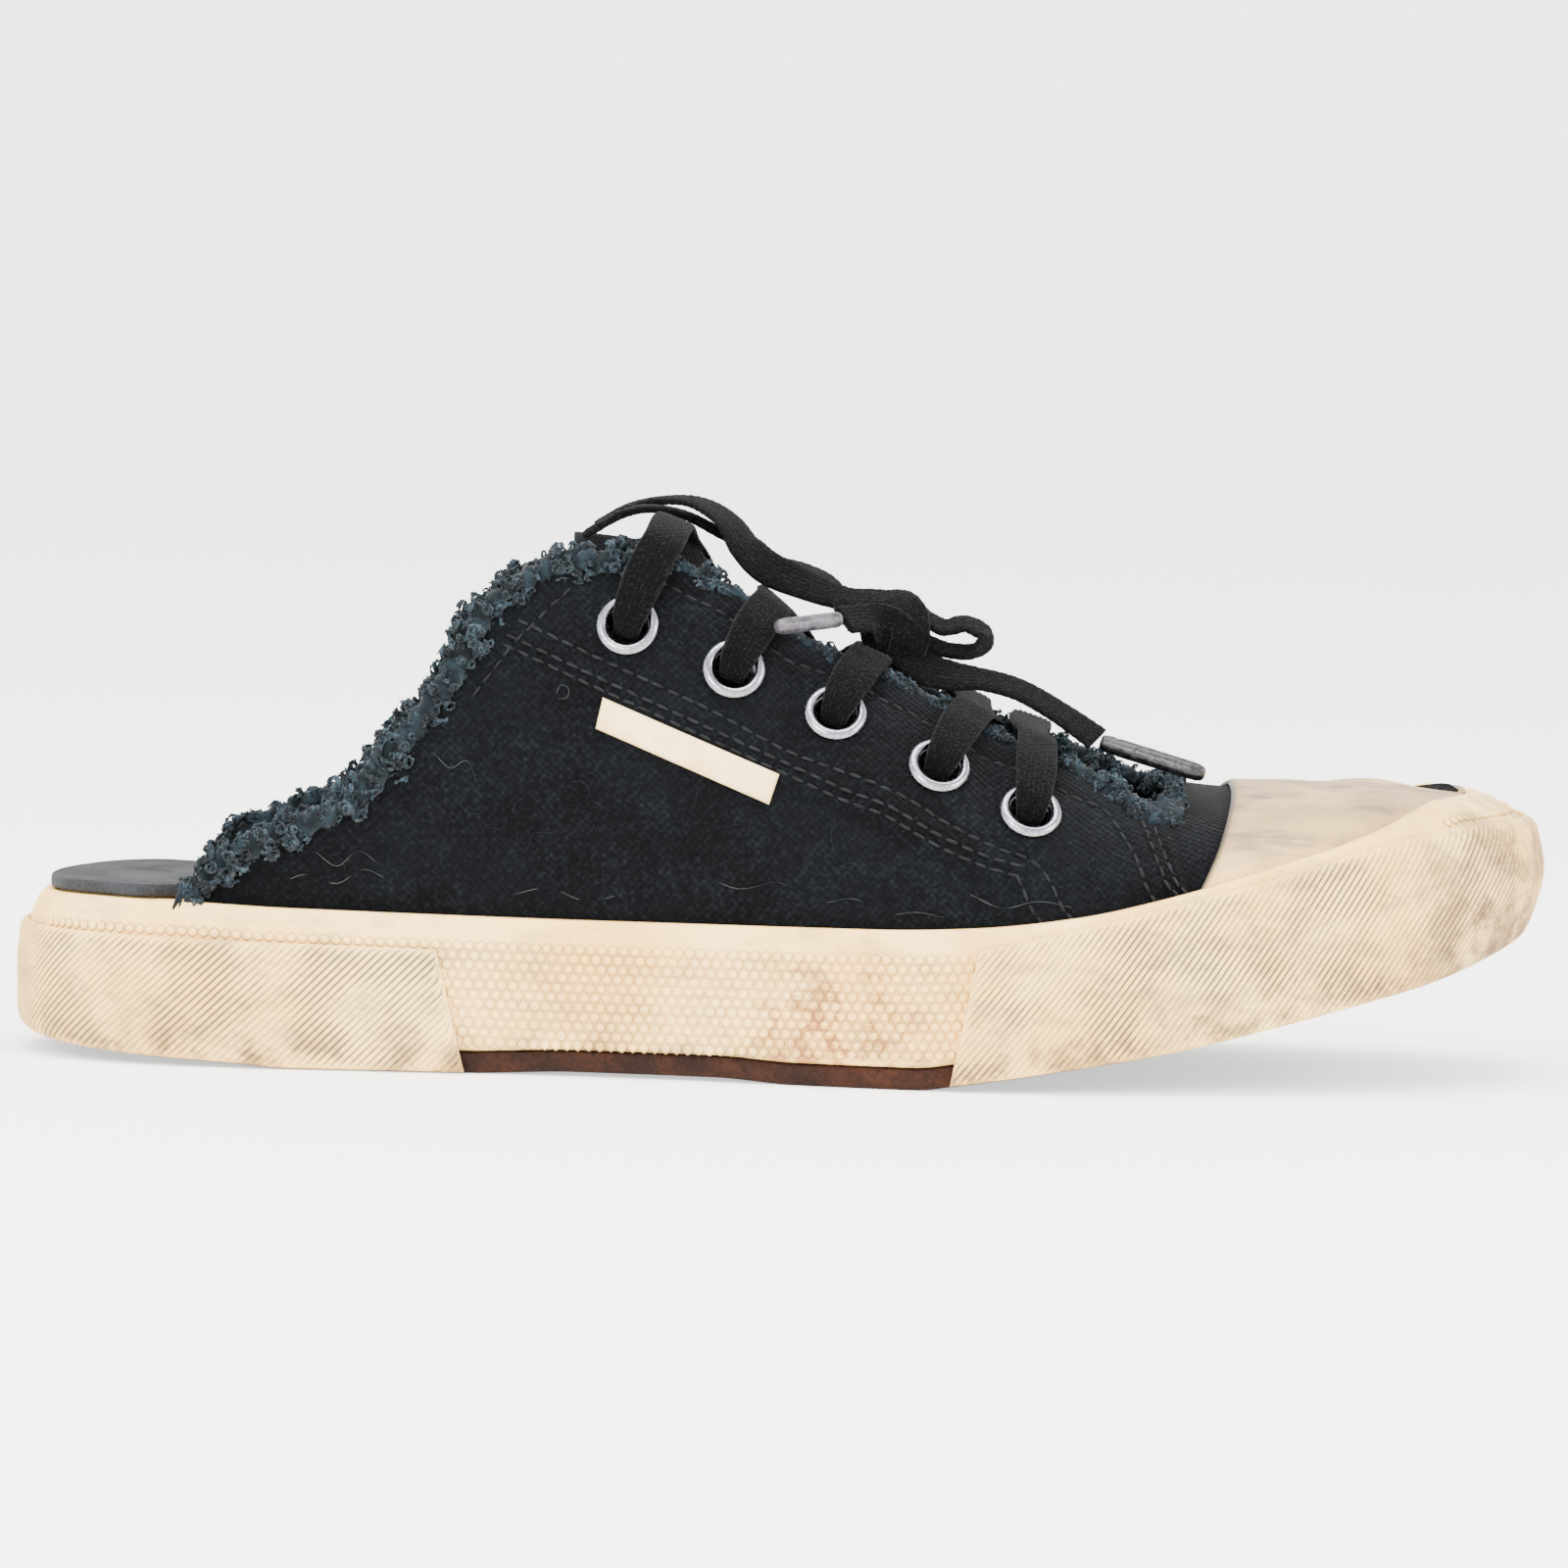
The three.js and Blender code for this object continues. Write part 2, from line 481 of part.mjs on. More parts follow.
// point over the tongue, y measured from the throat middle as a share of its half width
function overTongue(x, share, off) {
  const y = mix(throatEdge(x, -1), throatEdge(x, 1), (share + 1) / 2);
  const q = onLast(x, phiAtY(x, y), off);
  return { p: q.p, n: q.normal, w: LACE_W };
}
const SLACK = 3.0;          // the top crossing stands up off the throat
const REST = -TONGUE_DROP + GAP + LACE_T / 2 + 0.25;
function bar() {
  const k = 4, a = strapGuides(k, -1, 0.5), b = strapGuides(k, 1, 0.5).reverse(), x = EYELET_X[k] + 0.5;
  const mid = [-0.55, 0, 0.55].map((s) => overTongue(x, s, Math.abs(s) > 0.3 ? 0.4 : -0.6));
  return solid(smoothRibbon([...a, ...mid, ...b], 24));
}
// two straps of one crossing, from under the edges at the lower pair to the eyelets of the pair above
function crossing(k) {
  const one = (side, lift) => {
    const low = EYELET_X[k + 1] - 4, high = EYELET_X[k], slack = k === 0 ? SLACK : 0;
    const start = overTongue(low, -side * 0.93, REST);
    const up = strapGuides(k, side, 5.5, slack).reverse();
    const a = overTongue(mix(low, high + 6, 0.3), -side * 0.5, REST + 0.75 + lift);
    const b = overTongue(mix(low, high + 6, 0.55), 0, REST + 1.5 + lift);
    const c = overTongue(mix(low, high + 6, 0.82), side * 0.55, -0.4 + slack * 0.7);
    return solid(smoothRibbon([start, a, b, c, ...up], 13));
  };
  return one(-1, 0.6).add(one(1, -0.4));
}

// ---------- knot, loops and ends ----------
// guide rows: place, then the direction the flat face looks
const guide = ([x, y, z, nx, ny, nz], w) => ({ p: new THREE.Vector3(x, y, z),
  n: new THREE.Vector3(nx, ny, nz).normalize(), w });
const LEAD_OUTER = [[-37.5, -9.6, 102.1, -0.6, 0, 1], [-33.6, -6.4, 104.4, -0.6, 0, 0.8],
  [-28, -3.2, 106.2, -0.1, 0, 1], [-20.5, 1, 105.2, 0.3, 0.1, 1], [-13, 3, 101.6, 0.6, 0.2, 0.8],
  [-5.5, 3, 97.8, 0.4, 0.1, 0.9], [1.5, 0.6, 95.6, 0.1, -0.1, 1], [7, -3.4, 93.6, 0.5, -0.3, 0.8],
  [10.6, -7.6, 89.8, 0.6, -0.3, 0.7]];
const LEAD_INNER = [[-36.5, 11.4, 102.6, -0.4, 0, 1], [-31.4, 9.8, 105.6, -0.4, 0, 0.9],
  [-25, 7.4, 107.4, -0.1, 0, 1], [-18, 2.4, 107.5, 0.3, -0.3, 1], [-11.5, -5, 104.2, 0.6, -0.7, 0.5],
  [-8, -10.6, 99.8, 0.5, -0.9, 0.2], [-4, -13.6, 96.2, 0.3, -0.9, 0.4], [2.4, -14.8, 93.3, 0, -0.7, 0.7],
  [11.6, -13.6, 90.4, -0.2, -0.5, 0.8]];
const LOOP = [[30.2, -12.4, 85.2, -0.3, -0.3, 1], [34.4, -12.2, 86, 0.2, -0.3, 1],
  [38.4, -12.6, 83.6, 1, -0.3, 0.1], [36.2, -13.6, 81, 0.2, -0.4, -1], [30.8, -14, 81, -0.2, -0.4, -1]];
const END_LONG = [[26.6, -17.4, 77.6, 0, -0.8, 0.6], [31.6, -17.8, 76.4, 0, -0.7, 0.7],
  [37, -17.2, 75.8, 0.2, -0.5, 0.9], [44.4, -17, 74, 0.3, -0.5, 0.9], [52.4, -17.6, 69.8, 0.4, -0.5, 0.8],
  [59.8, -19.4, 65, 0.4, -0.6, 0.7]];
const END_SHORT = [[16.2, -18.8, 87, 0.1, -0.7, 0.7], [13.6, -20.4, 87, 0, -0.7, 0.7],
  [10.8, -22.4, 86.8, 0, -0.7, 0.7]];
const KNOT = { at: [20.4, -12.6, 85.6], r: [8.4, 5.2, 5.2] };
const AGLETS = {
  aglet_long: { from: [60.6, -19.7, 64.4], to: [80.2, -24.2, 59.0], r: 1.9 },
  aglet_short: { from: [10.2, -23.2, 86.9], to: [-1.8, -31, 85.6], r: 1.7 },
};
const narrow = (rows) => rows.map((row) => guide(row, LACE_W - 0.6));
const lead = (rows) => smoothRibbon(narrow(rows), 14);
function knot() {
  const g = new THREE.SphereGeometry(1, 12, 8).scale(...KNOT.r).rotateY(0.35).translate(...KNOT.at);
  return shell(g);
}
function aglet({ from, to, r }) {
  const a = new THREE.Vector3(...from), b = new THREE.Vector3(...to), d = b.clone().sub(a);
  const q = new THREE.Quaternion().setFromUnitVectors(new THREE.Vector3(0, 1, 0), d.clone().normalize());
  const g = new THREE.CylinderGeometry(r, r, d.length(), 10).applyQuaternion(q);
  return shell(g.translate(...a.add(b).multiplyScalar(0.5).toArray()));
}

// ---------- assembly ----------
function meshOf(name, made, colour, roughness, metalness = 0) {
  const geo = new THREE.BufferGeometry();
  if (made.getMesh) {
    const m = made.getMesh();
    geo.setAttribute('position', new THREE.BufferAttribute(new Float32Array(m.vertProperties), 3));
    geo.setIndex(new THREE.BufferAttribute(new Uint32Array(m.triVerts), 1));
  } else {
    geo.setAttribute('position', new THREE.BufferAttribute(new Float32Array(made.pos.flat()), 3));
    geo.setIndex(new THREE.BufferAttribute(new Uint32Array(made.idx), 1));
  }
  geo.computeVertexNormals();
  const mesh = new THREE.Mesh(geo, new THREE.MeshStandardMaterial({ color: colour, roughness, metalness }));
  mesh.name = name;
  return mesh;
}

const group = new THREE.Group();
group.add(meshOf('outsole', outsole(), COLOUR.brown, 0.75));
group.add(meshOf('foxing', foxing(), COLOUR.cream, 0.65));
group.add(meshOf('heel_bumper', band(heelBandTop, -64.7, -59, 22, false), COLOUR.cream, 0.7));
group.add(meshOf('toe_bumper', band(toeBandTop, 37.6, 32.7, 32, true), COLOUR.cream, 0.7));
group.add(meshOf('insole', insole(), COLOUR.insole, 0.85));
group.add(meshOf('upper', upper(), COLOUR.canvas, 0.95));
group.add(meshOf('toe_cap', toeCap(), COLOUR.cream, 0.8));
group.add(meshOf('tongue', tongue(), COLOUR.canvas, 0.95));
group.add(meshOf('label_tab', tab(), COLOUR.cream, 0.5));
for (let k = 0; k < 5; k++) {
  group.add(meshOf(`eyelet_outer_${k + 1}`, eyelet(k, -1), COLOUR.metal, 0.25, 1));
  group.add(meshOf(`eyelet_inner_${k + 1}`, eyelet(k, 1), COLOUR.metal, 0.25, 1));
}
group.add(meshOf('lace_bar', bar(), COLOUR.lace, 0.9));
for (let k = 0; k < 4; k++) group.add(meshOf(`lace_cross_${k + 1}`, crossing(k), COLOUR.lace, 0.9));
const cords = [
  meshOf('lead_outer', lead(LEAD_OUTER), COLOUR.lace, 0.9),
  meshOf('lead_inner', lead(LEAD_INNER), COLOUR.lace, 0.9),
  meshOf('knot', knot(), COLOUR.lace, 0.9),
  meshOf('bow_loop', smoothRibbon(narrow(LOOP), 12), COLOUR.lace, 0.9),
  meshOf('end_long', smoothRibbon(narrow(END_LONG), 10), COLOUR.lace, 0.9),
  meshOf('end_short', smoothRibbon(narrow(END_SHORT), 3), COLOUR.lace, 0.9),
  ...Object.entries(AGLETS).map(([name, a]) => meshOf(name, aglet(a), COLOUR.metal, 0.3)),
];

// rest the sole on z = 0 and centre the plan on the origin
const box = new THREE.Box3();
group.children.forEach((m) => {
  m.geometry.computeBoundingBox();
  box.union(m.geometry.boundingBox);
});
const shift = [-(box.min.x + box.max.x) / 2, -(box.min.y + box.max.y) / 2, -box.min.z];
group.add(...cords);
group.children.forEach((m) => m.geometry.translate(...shift));

export default group;
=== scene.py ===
"""A worn right backless canvas sneaker on a pale floor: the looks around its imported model.
Sizes are in mm in the shoe's own frame (+X to the toe, +Y to the inner side) and leave as metres."""
import bpy
import bmesh
import math
import numpy as np
from mathutils import Matrix, Vector


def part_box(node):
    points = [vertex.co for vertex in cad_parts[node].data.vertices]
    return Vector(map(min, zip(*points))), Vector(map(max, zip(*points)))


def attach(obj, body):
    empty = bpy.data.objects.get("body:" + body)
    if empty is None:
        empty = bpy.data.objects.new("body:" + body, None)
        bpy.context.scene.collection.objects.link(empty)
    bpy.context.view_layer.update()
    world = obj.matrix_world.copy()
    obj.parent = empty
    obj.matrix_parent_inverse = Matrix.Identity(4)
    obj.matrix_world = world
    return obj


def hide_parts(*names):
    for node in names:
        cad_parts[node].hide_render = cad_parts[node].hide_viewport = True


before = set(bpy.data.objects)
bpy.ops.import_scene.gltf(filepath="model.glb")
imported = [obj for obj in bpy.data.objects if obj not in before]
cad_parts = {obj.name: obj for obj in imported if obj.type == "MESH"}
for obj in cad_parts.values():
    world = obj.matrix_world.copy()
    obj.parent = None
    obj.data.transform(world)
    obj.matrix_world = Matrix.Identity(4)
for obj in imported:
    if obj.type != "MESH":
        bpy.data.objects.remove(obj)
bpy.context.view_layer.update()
MM = 0.001

# ------------------------------------------------------------------ camera
# A long lens just above the floor, square to the outer side of the shoe and rolled a little, so
# that the toe dips. It stops well above the floor.
AIM = Vector((0, -10.0, 54.3)) * MM
DISTANCE, RISE, ROLL = 1.84, math.radians(4.1), math.radians(1.3)
camera_data = bpy.data.cameras.new("camera")
camera_data.lens = 220.3
camera_data.sensor_width = 36.0
camera = bpy.data.objects.new("camera", camera_data)
bpy.context.scene.collection.objects.link(camera)
back = Vector((0, -math.cos(RISE), math.sin(RISE)))
right, up = Vector((1, 0, 0)), Vector((0, math.sin(RISE), math.cos(RISE)))
tilted = (right * math.cos(ROLL) + up * math.sin(ROLL), up * math.cos(ROLL) - right * math.sin(ROLL), back)
camera.matrix_world = Matrix.Translation(AIM + back * DISTANCE) @ Matrix(tilted).transposed().to_4x4()
bpy.context.scene.camera = camera

# ------------------------------------------------------------------ tied lace: leads, knot, loop, ends
# A flat braided polyester lace. Both leads come up from inside the top eyelets, lie over the
# instep in a loose tangled knot with one small loop, and end in crimped film aglets.
LACE_WIDE, LACE_THICK = 8.2, 1.9
TIED_WIDE = 7.6                 # the lace draws in where it is tied
WALES, STITCH_RUN = 8, 1.8      # ridges across the lace, length of one braid stitch
BRAID_RELIEF = 0.3
KNOT_AT = (20.4, -12.6, 85.6)   # middle of the knot

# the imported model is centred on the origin: what its knot moved by, everything moves by
knot_low, knot_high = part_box("knot")
SHIFT = np.array((knot_low + knot_high) / 2) / MM - KNOT_AT

# rows: place, then where the flat face looks
LEAD_OUTER = [[-37.5, -9.6, 102.1, -0.6, 0, 1], [-33.6, -6.4, 104.4, -0.6, 0, 0.8],
              [-28, -3.2, 106.2, -0.1, 0, 1], [-20.5, 1, 105.2, 0.3, 0.1, 1],
              [-13, 3, 101.6, 0.6, 0.2, 0.8], [-5.5, 3, 97.8, 0.4, 0.1, 0.9],
              [1.5, 0.6, 95.6, 0.1, -0.1, 1], [7, -3.4, 93.6, 0.5, -0.3, 0.8],
              [10.6, -7.6, 89.8, 0.6, -0.3, 0.7]]
END_LONG = [[26.6, -17.4, 77.6, 0, -0.8, 0.6], [31.6, -17.8, 76.4, 0, -0.7, 0.7],
            [37, -17.2, 75.8, 0.2, -0.5, 0.9], [44.4, -17, 74, 0.3, -0.5, 0.9],
            [52.4, -17.6, 69.8, 0.4, -0.5, 0.8], [59.8, -19.4, 65, 0.4, -0.6, 0.7]]
THROUGH_KNOT = [[16, -11, 85.4, 0.2, -0.4, 1], [21.6, -14.6, 81.6, 0.1, -0.7, 0.8]]
LEAD_INNER = [[-36.5, 11.4, 102.6, -0.4, 0, 1], [-31.4, 9.8, 105.6, -0.4, 0, 0.9],
              [-25, 7.4, 107.4, -0.1, 0, 1], [-18, 2.4, 107.5, 0.3, -0.3, 1],
              [-11.5, -5, 104.2, 0.6, -0.7, 0.5], [-8, -10.6, 99.8, 0.5, -0.9, 0.2],
              [-4, -13.6, 96.2, 0.3, -0.9, 0.4], [2.4, -14.8, 93.3, 0, -0.7, 0.7],
              [11.6, -13.6, 90.4, -0.2, -0.5, 0.8]]
OVER_KNOT = [[18, -12.4, 90.4, 0, -0.4, 1], [23, -12, 89.6, 0.3, -0.4, 0.9], [27, -12.2, 87, 0.4, -0.2, 1]]
LOOP = [[30.2, -12.4, 85.2, -0.3, -0.3, 1], [34.4, -12.2, 86, 0.2, -0.3, 1],
        [38.4, -12.6, 83.6, 1, -0.3, 0.1], [36.2, -13.6, 81, 0.2, -0.4, -1],
        [30.8, -14, 81, -0.2, -0.4, -1]]
BACK_UNDER = [[25.4, -15.6, 82.4, -0.2, -0.6, -0.8], [20.4, -17.4, 85.2, 0, -0.8, -0.2]]
END_SHORT = [[16.2, -18.8, 87, 0.1, -0.7, 0.7], [13.6, -20.4, 87, 0, -0.7, 0.7],
             [10.8, -22.4, 86.8, 0, -0.7, 0.7]]
# the turns that hold the knot together, as rows with their own widths
WRAP = [[16.5, -11, 89.4, -0.3, -0.2, 1, 6.4], [20.6, -13, 90.6, 0, -0.5, 1, 7.2],
        [23.4, -16.6, 88.2, 0.2, -1, 0.4, 7.4], [23.8, -18.2, 84, 0.1, -1, 0, 7.6],
        [23, -16.6, 80, 0, -0.7, -0.7, 7.4], [21.6, -12.6, 78.4, 0, 0, -1, 7.2],
        [20.4, -8.8, 80.6, 0, 0.8, -0.6, 7.2], [19.4, -7.4, 84.8, 0, 1, 0, 7.2],
        [18.4, -9.2, 88.2, 0, 0.6, 0.8, 7], [17.4, -13, 89.6, -0.1, -0.4, 1, 6.8],
        [17, -16.8, 86.8, -0.2, -1, 0.3, 6.6], [17.6, -17.2, 82.8, -0.2, -1, -0.2, 6.6],
        [18.4, -14.4, 80, 0, -0.5, -0.8, 6.4]]


def linear(code):
    """an sRGB hex colour as linear RGBA"""
    parts = [int(code[k:k + 2], 16) / 255 for k in (1, 3, 5)]
    return [c / 12.92 if c <= 0.04045 else ((c + 0.055) / 1.055) ** 2.4 for c in parts] + [1.0]


def add(tree, kind, inputs=None, **settings):
    """adds a node; inputs are values, or sockets to link from, by name or number"""
    made = tree.nodes.new(kind)
    for name, value in settings.items():
        setattr(made, name, value)
    for key, value in (inputs or {}).items():
        if isinstance(value, bpy.types.NodeSocket):
            tree.links.new(value, made.inputs[key])
        else:
            made.inputs[key].default_value = value
    return made


def start_finish(name):
    """an empty node material and its object coordinates, in metres"""
    material = bpy.data.materials.new(name)
    material.use_nodes = True
    material.node_tree.nodes.clear()
    return material, material.node_tree, add(material.node_tree, "ShaderNodeTexCoord").outputs["Object"]


def cloud(tree, where, size, detail=3.0, low=0.35, high=0.65, rough=0.5):
    """a soft blotch from 0 to 1, size mm across"""
    noise = add(tree, "ShaderNodeTexNoise", {"Vector": where, "Scale": 1 / (size * MM), "Detail": detail,
                                             "Roughness": rough})
    return add(tree, "ShaderNodeMapRange", {"Value": noise.outputs["Fac"], "From Min": low, "From Max": high},
               interpolation_type="SMOOTHSTEP").outputs["Result"]


def tint(tree, share, below, above):
    """mixes two colours, or sockets, by a share"""
    inputs = {0: share, 6: below, 7: above}
    inputs = {k: linear(v) if isinstance(v, str) else v for k, v in inputs.items()}
    return add(tree, "ShaderNodeMix", inputs, data_type="RGBA").outputs[2]


def times(tree, *values, operation="MULTIPLY"):
    """folds values and sockets together with one maths operation"""
    total = values[0]
    for value in values[1:]:
        total = add(tree, "ShaderNodeMath", {0: total, 1: value}, operation=operation).outputs[0]
    return total


def relief(tree, height, depth):
    """a bump of that depth in mm from a 0 to 1 height"""
    return add(tree, "ShaderNodeBump", {"Height": height, "Distance": depth * MM}).outputs["Normal"]


def close_finish(tree, **inputs):
    """ends a material in one principled shader"""
    named = {key.replace("_", " "): value for key, value in inputs.items()}
    shader = add(tree, "ShaderNodeBsdfPrincipled", named)
    add(tree, "ShaderNodeOutputMaterial", {"Surface": shader.outputs["BSDF"]})


def braided_polyester():
    """Spun polyester braid: matt black, brown-grey where light catches the fibres on each stitch."""
    material, tree, where = start_finish("braided_polyester")
    crest = add(tree, "ShaderNodeAttribute", attribute_name="crest").outputs["Fac"]
    fuzz = cloud(tree, where, 0.55, low=0.4, high=0.72)
    colour = tint(tree, times(tree, crest, fuzz), "#030303", "#18171a")
    close_finish(tree, Base_Color=colour, Roughness=0.9, Specular_IOR_Level=0.05, Sheen_Weight=0.03,
                 Sheen_Roughness=0.5, Normal=relief(tree, fuzz, 0.12))
    return material


def film(name, colour, clear):
    """Shrunk acetate film over the lace tip: smooth and glossy, grey and cloudy where it is clear."""
    material, tree, where = start_finish(name)
    haze = cloud(tree, where, 2.5)
    close_finish(tree, Base_Color=tint(tree, haze, colour, "#5c595f" if clear else "#161518"),
                 Roughness=0.3, Specular_IOR_Level=0.35, Coat_Weight=0.15, Coat_Roughness=0.2,
                 Transmission_Weight=0.25 if clear else 0.0,
                 Normal=relief(tree, haze, 0.15))
    return material


def unit(vectors):
    return vectors / np.maximum(np.linalg.norm(vectors, axis=-1, keepdims=True), 1e-9)


def through_points(points, per_span, closed=False):
    """centripetal curve through points, per_span steps from each to the next"""
    p = np.asarray(points, float)
    if closed:
        p = np.vstack([p[-1:], p, p[:2]])
    else:
        p = np.vstack([2 * p[0] - p[1], p, 2 * p[-1] - p[-2]])
    gap = np.sqrt(np.linalg.norm(np.diff(p, axis=0), axis=1))[:, None]
    slope = np.diff(p, axis=0) / gap
    h = np.linspace(0, 1, per_span, endpoint=False)[:, None]
    out = []
    for k in range(1, len(p) - 2):
        start = (slope[k - 1] - (p[k + 1] - p[k - 1]) / (gap[k - 1] + gap[k]) + slope[k]) * gap[k]
        end = (slope[k] - (p[k + 2] - p[k]) / (gap[k] + gap[k + 1]) + slope[k + 1]) * gap[k]
        out.append(p[k] * (1 + 2 * h) * (1 - h) ** 2 + start * h * (1 - h) ** 2
                   + p[k + 1] * h * h * (3 - 2 * h) - end * h * h * (1 - h))
    if not closed:
        out.append(p[-2:-1])
    return np.vstack(out)


def even(points, values, step):
    """points, and the values that go with them, taken again every step mm"""
    run = np.concatenate([[0], np.cumsum(np.linalg.norm(np.diff(points, axis=0), axis=1))])
    at = np.linspace(0, run[-1], max(3, round(run[-1] / step) + 1))
    again = [np.stack([np.interp(at, run, column) for column in rows.T], -1) for rows in (points, values)]
    return again[0], again[1], at


def quads(rows, columns, wrap=False, start=0):
    """faces of a grid of points, looking along row step x column step"""
    r, c = np.meshgrid(np.arange(rows - 1), np.arange(columns if wrap else columns - 1), indexing="ij")
    n = (c + 1) % columns
    faces = np.stack([r * columns + c, (r + 1) * columns + c, (r + 1) * columns + n, r * columns + n], -1)
    return (faces.reshape(-1, 4) + start).tolist()


def shape(parts):
    """joins (points, faces, attributes) parts into one"""
    points, faces, marks, start = [], [], {}, 0
    for part_points, part_faces, part_marks in parts:
        points.append(part_points)
        faces += [[i + start for i in face] for face in part_faces]
        for name, values in part_marks.items():
            marks.setdefault(name, []).append(values)
        start += len(part_points)
    return np.vstack(points), faces, {name: np.concatenate(values) for name, values in marks.items()}


def piece(name, points, faces, finish, marks=None, crisp=None, tidy=False):
    """a mesh object at the origin from points in mm; marks are its named attributes"""
    mesh = bpy.data.meshes.new(name)
    mesh.from_pydata(((np.asarray(points) + SHIFT) * MM).tolist(), [], faces)
    for key, values in (marks or {}).items():
        vector = values.ndim == 2
        made = mesh.attributes.new(key, "FLOAT_VECTOR" if vector else "FLOAT", "POINT")
        flat = np.ascontiguousarray(values, np.float32).ravel()
        made.data.foreach_set("vector" if vector else "value", flat)
    if tidy:
        work = bmesh.new()
        work.from_mesh(mesh)
        bmesh.ops.remove_doubles(work, verts=work.verts, dist=0.01 * MM)
        bmesh.ops.recalc_face_normals(work, faces=work.faces)
        work.to_mesh(mesh)
        work.free()
    if faces:
        mesh.shade_smooth()
    if crisp:
        mesh.set_sharp_from_angle(angle=math.radians(crisp))
    mesh.materials.append(finish)
    made = bpy.data.objects.new(name, mesh)
    bpy.context.scene.collection.objects.link(made)
    return made


def finish_piece(made, slot, *nodes):
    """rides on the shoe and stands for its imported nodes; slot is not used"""
    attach(made, "root")
    if nodes:
        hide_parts(*nodes)
    return made


def lace_run(rows, step=0.55):
    """one braided run along rows of place, face and width: its mesh part and its middle line"""
    rows = np.asarray(rows, float)
    fine = through_points(rows[:, :3], 24)
    share = np.linspace(0, len(rows) - 1, len(fine))
    face_and_width = np.stack([np.interp(share, np.arange(len(rows)), c) for c in rows[:, 3:].T], -1)
    centre, face_and_width, at = even(fine, face_and_width, step)
    forward = unit(np.gradient(centre, axis=0))
    side = unit(np.cross(forward, face_and_width[:, :3]))
    face = np.cross(side, forward)
    across = np.linspace(-1, 1, WALES * 3 + 1)
    wale = np.minimum(np.floor((across + 1) / 2 * WALES), WALES - 1)
    local = (across + 1) / 2 * WALES - wale - 0.5
    lean = np.where(wale % 2 == 0, 1, -1)
    phase = at[:, None] / STITCH_RUN + lean * local * 0.8 + 0.5 * (wale % 2)
    stitch = np.cos(np.pi * local) * (0.6 + 0.4 * np.cos(2 * np.pi * phase))
    half = LACE_THICK / 2 * np.sqrt(np.maximum(1 - np.abs(across) ** 5, 0.02)) - BRAID_RELIEF
    lift = half + BRAID_RELIEF * stitch
    flat = centre[:, None] + side[:, None] * (across * face_and_width[:, 3:] / 2)[:, :, None]
    top = flat + face[:, None] * lift[:, :, None]
    under = flat - face[:, None] * lift[:, :, None]
    ring = np.concatenate([top, under[:, -2:0:-1]], 1)
    crest = np.concatenate([stitch, stitch[:, -2:0:-1]], 1)
    count = ring.shape[1]
    faces = quads(len(centre), count, wrap=True)
    faces += [list(range(count)), list(range((len(centre) - 1) * count, len(centre) * count))[::-1]]
    return (ring.reshape(-1, 3), faces, {"crest": crest.ravel()}), centre


def tied(rows, wide=TIED_WIDE):
    return [row + [wide] for row in rows]


def tube(centre, radius, sides=12):
    """closed round tube along points, with a radius at each"""
    centre = np.asarray(centre, float)
    radius = np.broadcast_to(radius, len(centre))
    forward = unit(np.gradient(centre, axis=0))
    guide = np.array([0.31, 0.95, 0.05])
    side = unit(np.cross(forward, guide))
    other = np.cross(side, forward)
    turn = np.arange(sides) / sides * 2 * np.pi
    ring = (centre[:, None] + (side[:, None] * np.cos(turn)[:, None] + other[:, None] * np.sin(turn)[:, None])
            * radius[:, None, None])
    faces = quads(len(centre), sides, wrap=True)
    faces += [list(range(sides)), list(range((len(centre) - 1) * sides, len(centre) * sides))[::-1]]
    return ring.reshape(-1, 3), faces, {}


def aglet(name, start, end, radius, finish, slot):
    """film tip: drawn in where it grips the lace, straight, and nipped at its end"""
    profile = np.array([[0, 0.2], [0, 0.78], [0.03, 0.92], [0.1, 1], [0.14, 0.93], [0.18, 1], [0.86, 1],
                        [0.93, 0.96], [0.98, 0.8], [1, 0.55], [1, 0.15]])
    axis = np.array(end) - start
    length = np.linalg.norm(axis)
    apart = np.linspace(0, 1e-3, len(profile))[:, None] * axis / length     # no two rings in one place
    along = np.array(start) + profile[:, :1] * axis + apart
    made = piece(name + "_film", *tube(along, profile[:, 1] * radius, 24)[:2], finish, tidy=True)
    return finish_piece(made, slot, name)


lace_black = braided_polyester()
aglet_long = aglet("aglet_long", [60.6, -19.7, 64.4], [80.2, -24.2, 59.0], 1.75,
                   film("dark_film", "#060607", False), "aglet_dark")
aglet_short = aglet("aglet_short", [10.2, -23.2, 86.9], [-1.8, -31, 85.6], 1.55,
                    film("clear_film", "#353238", True), "aglet_clear")
for name, rows, tip, nodes in (
        ("lace_long_end", LEAD_OUTER + THROUGH_KNOT + END_LONG, aglet_long, ("lead_outer", "end_long")),
        ("lace_short_end", LEAD_INNER + OVER_KNOT + LOOP + BACK_UNDER + END_SHORT, aglet_short,
         ("lead_inner", "bow_loop", "end_short"))):
    part, middle = lace_run(tied(rows))
    cord = finish_piece(piece(name, *part[:2], lace_black, part[2], tidy=True), "lace", *nodes)
part, _ = lace_run(WRAP)
finish_piece(piece("knot_turns", *part[:2], lace_black, part[2], tidy=True), "lace", "knot")

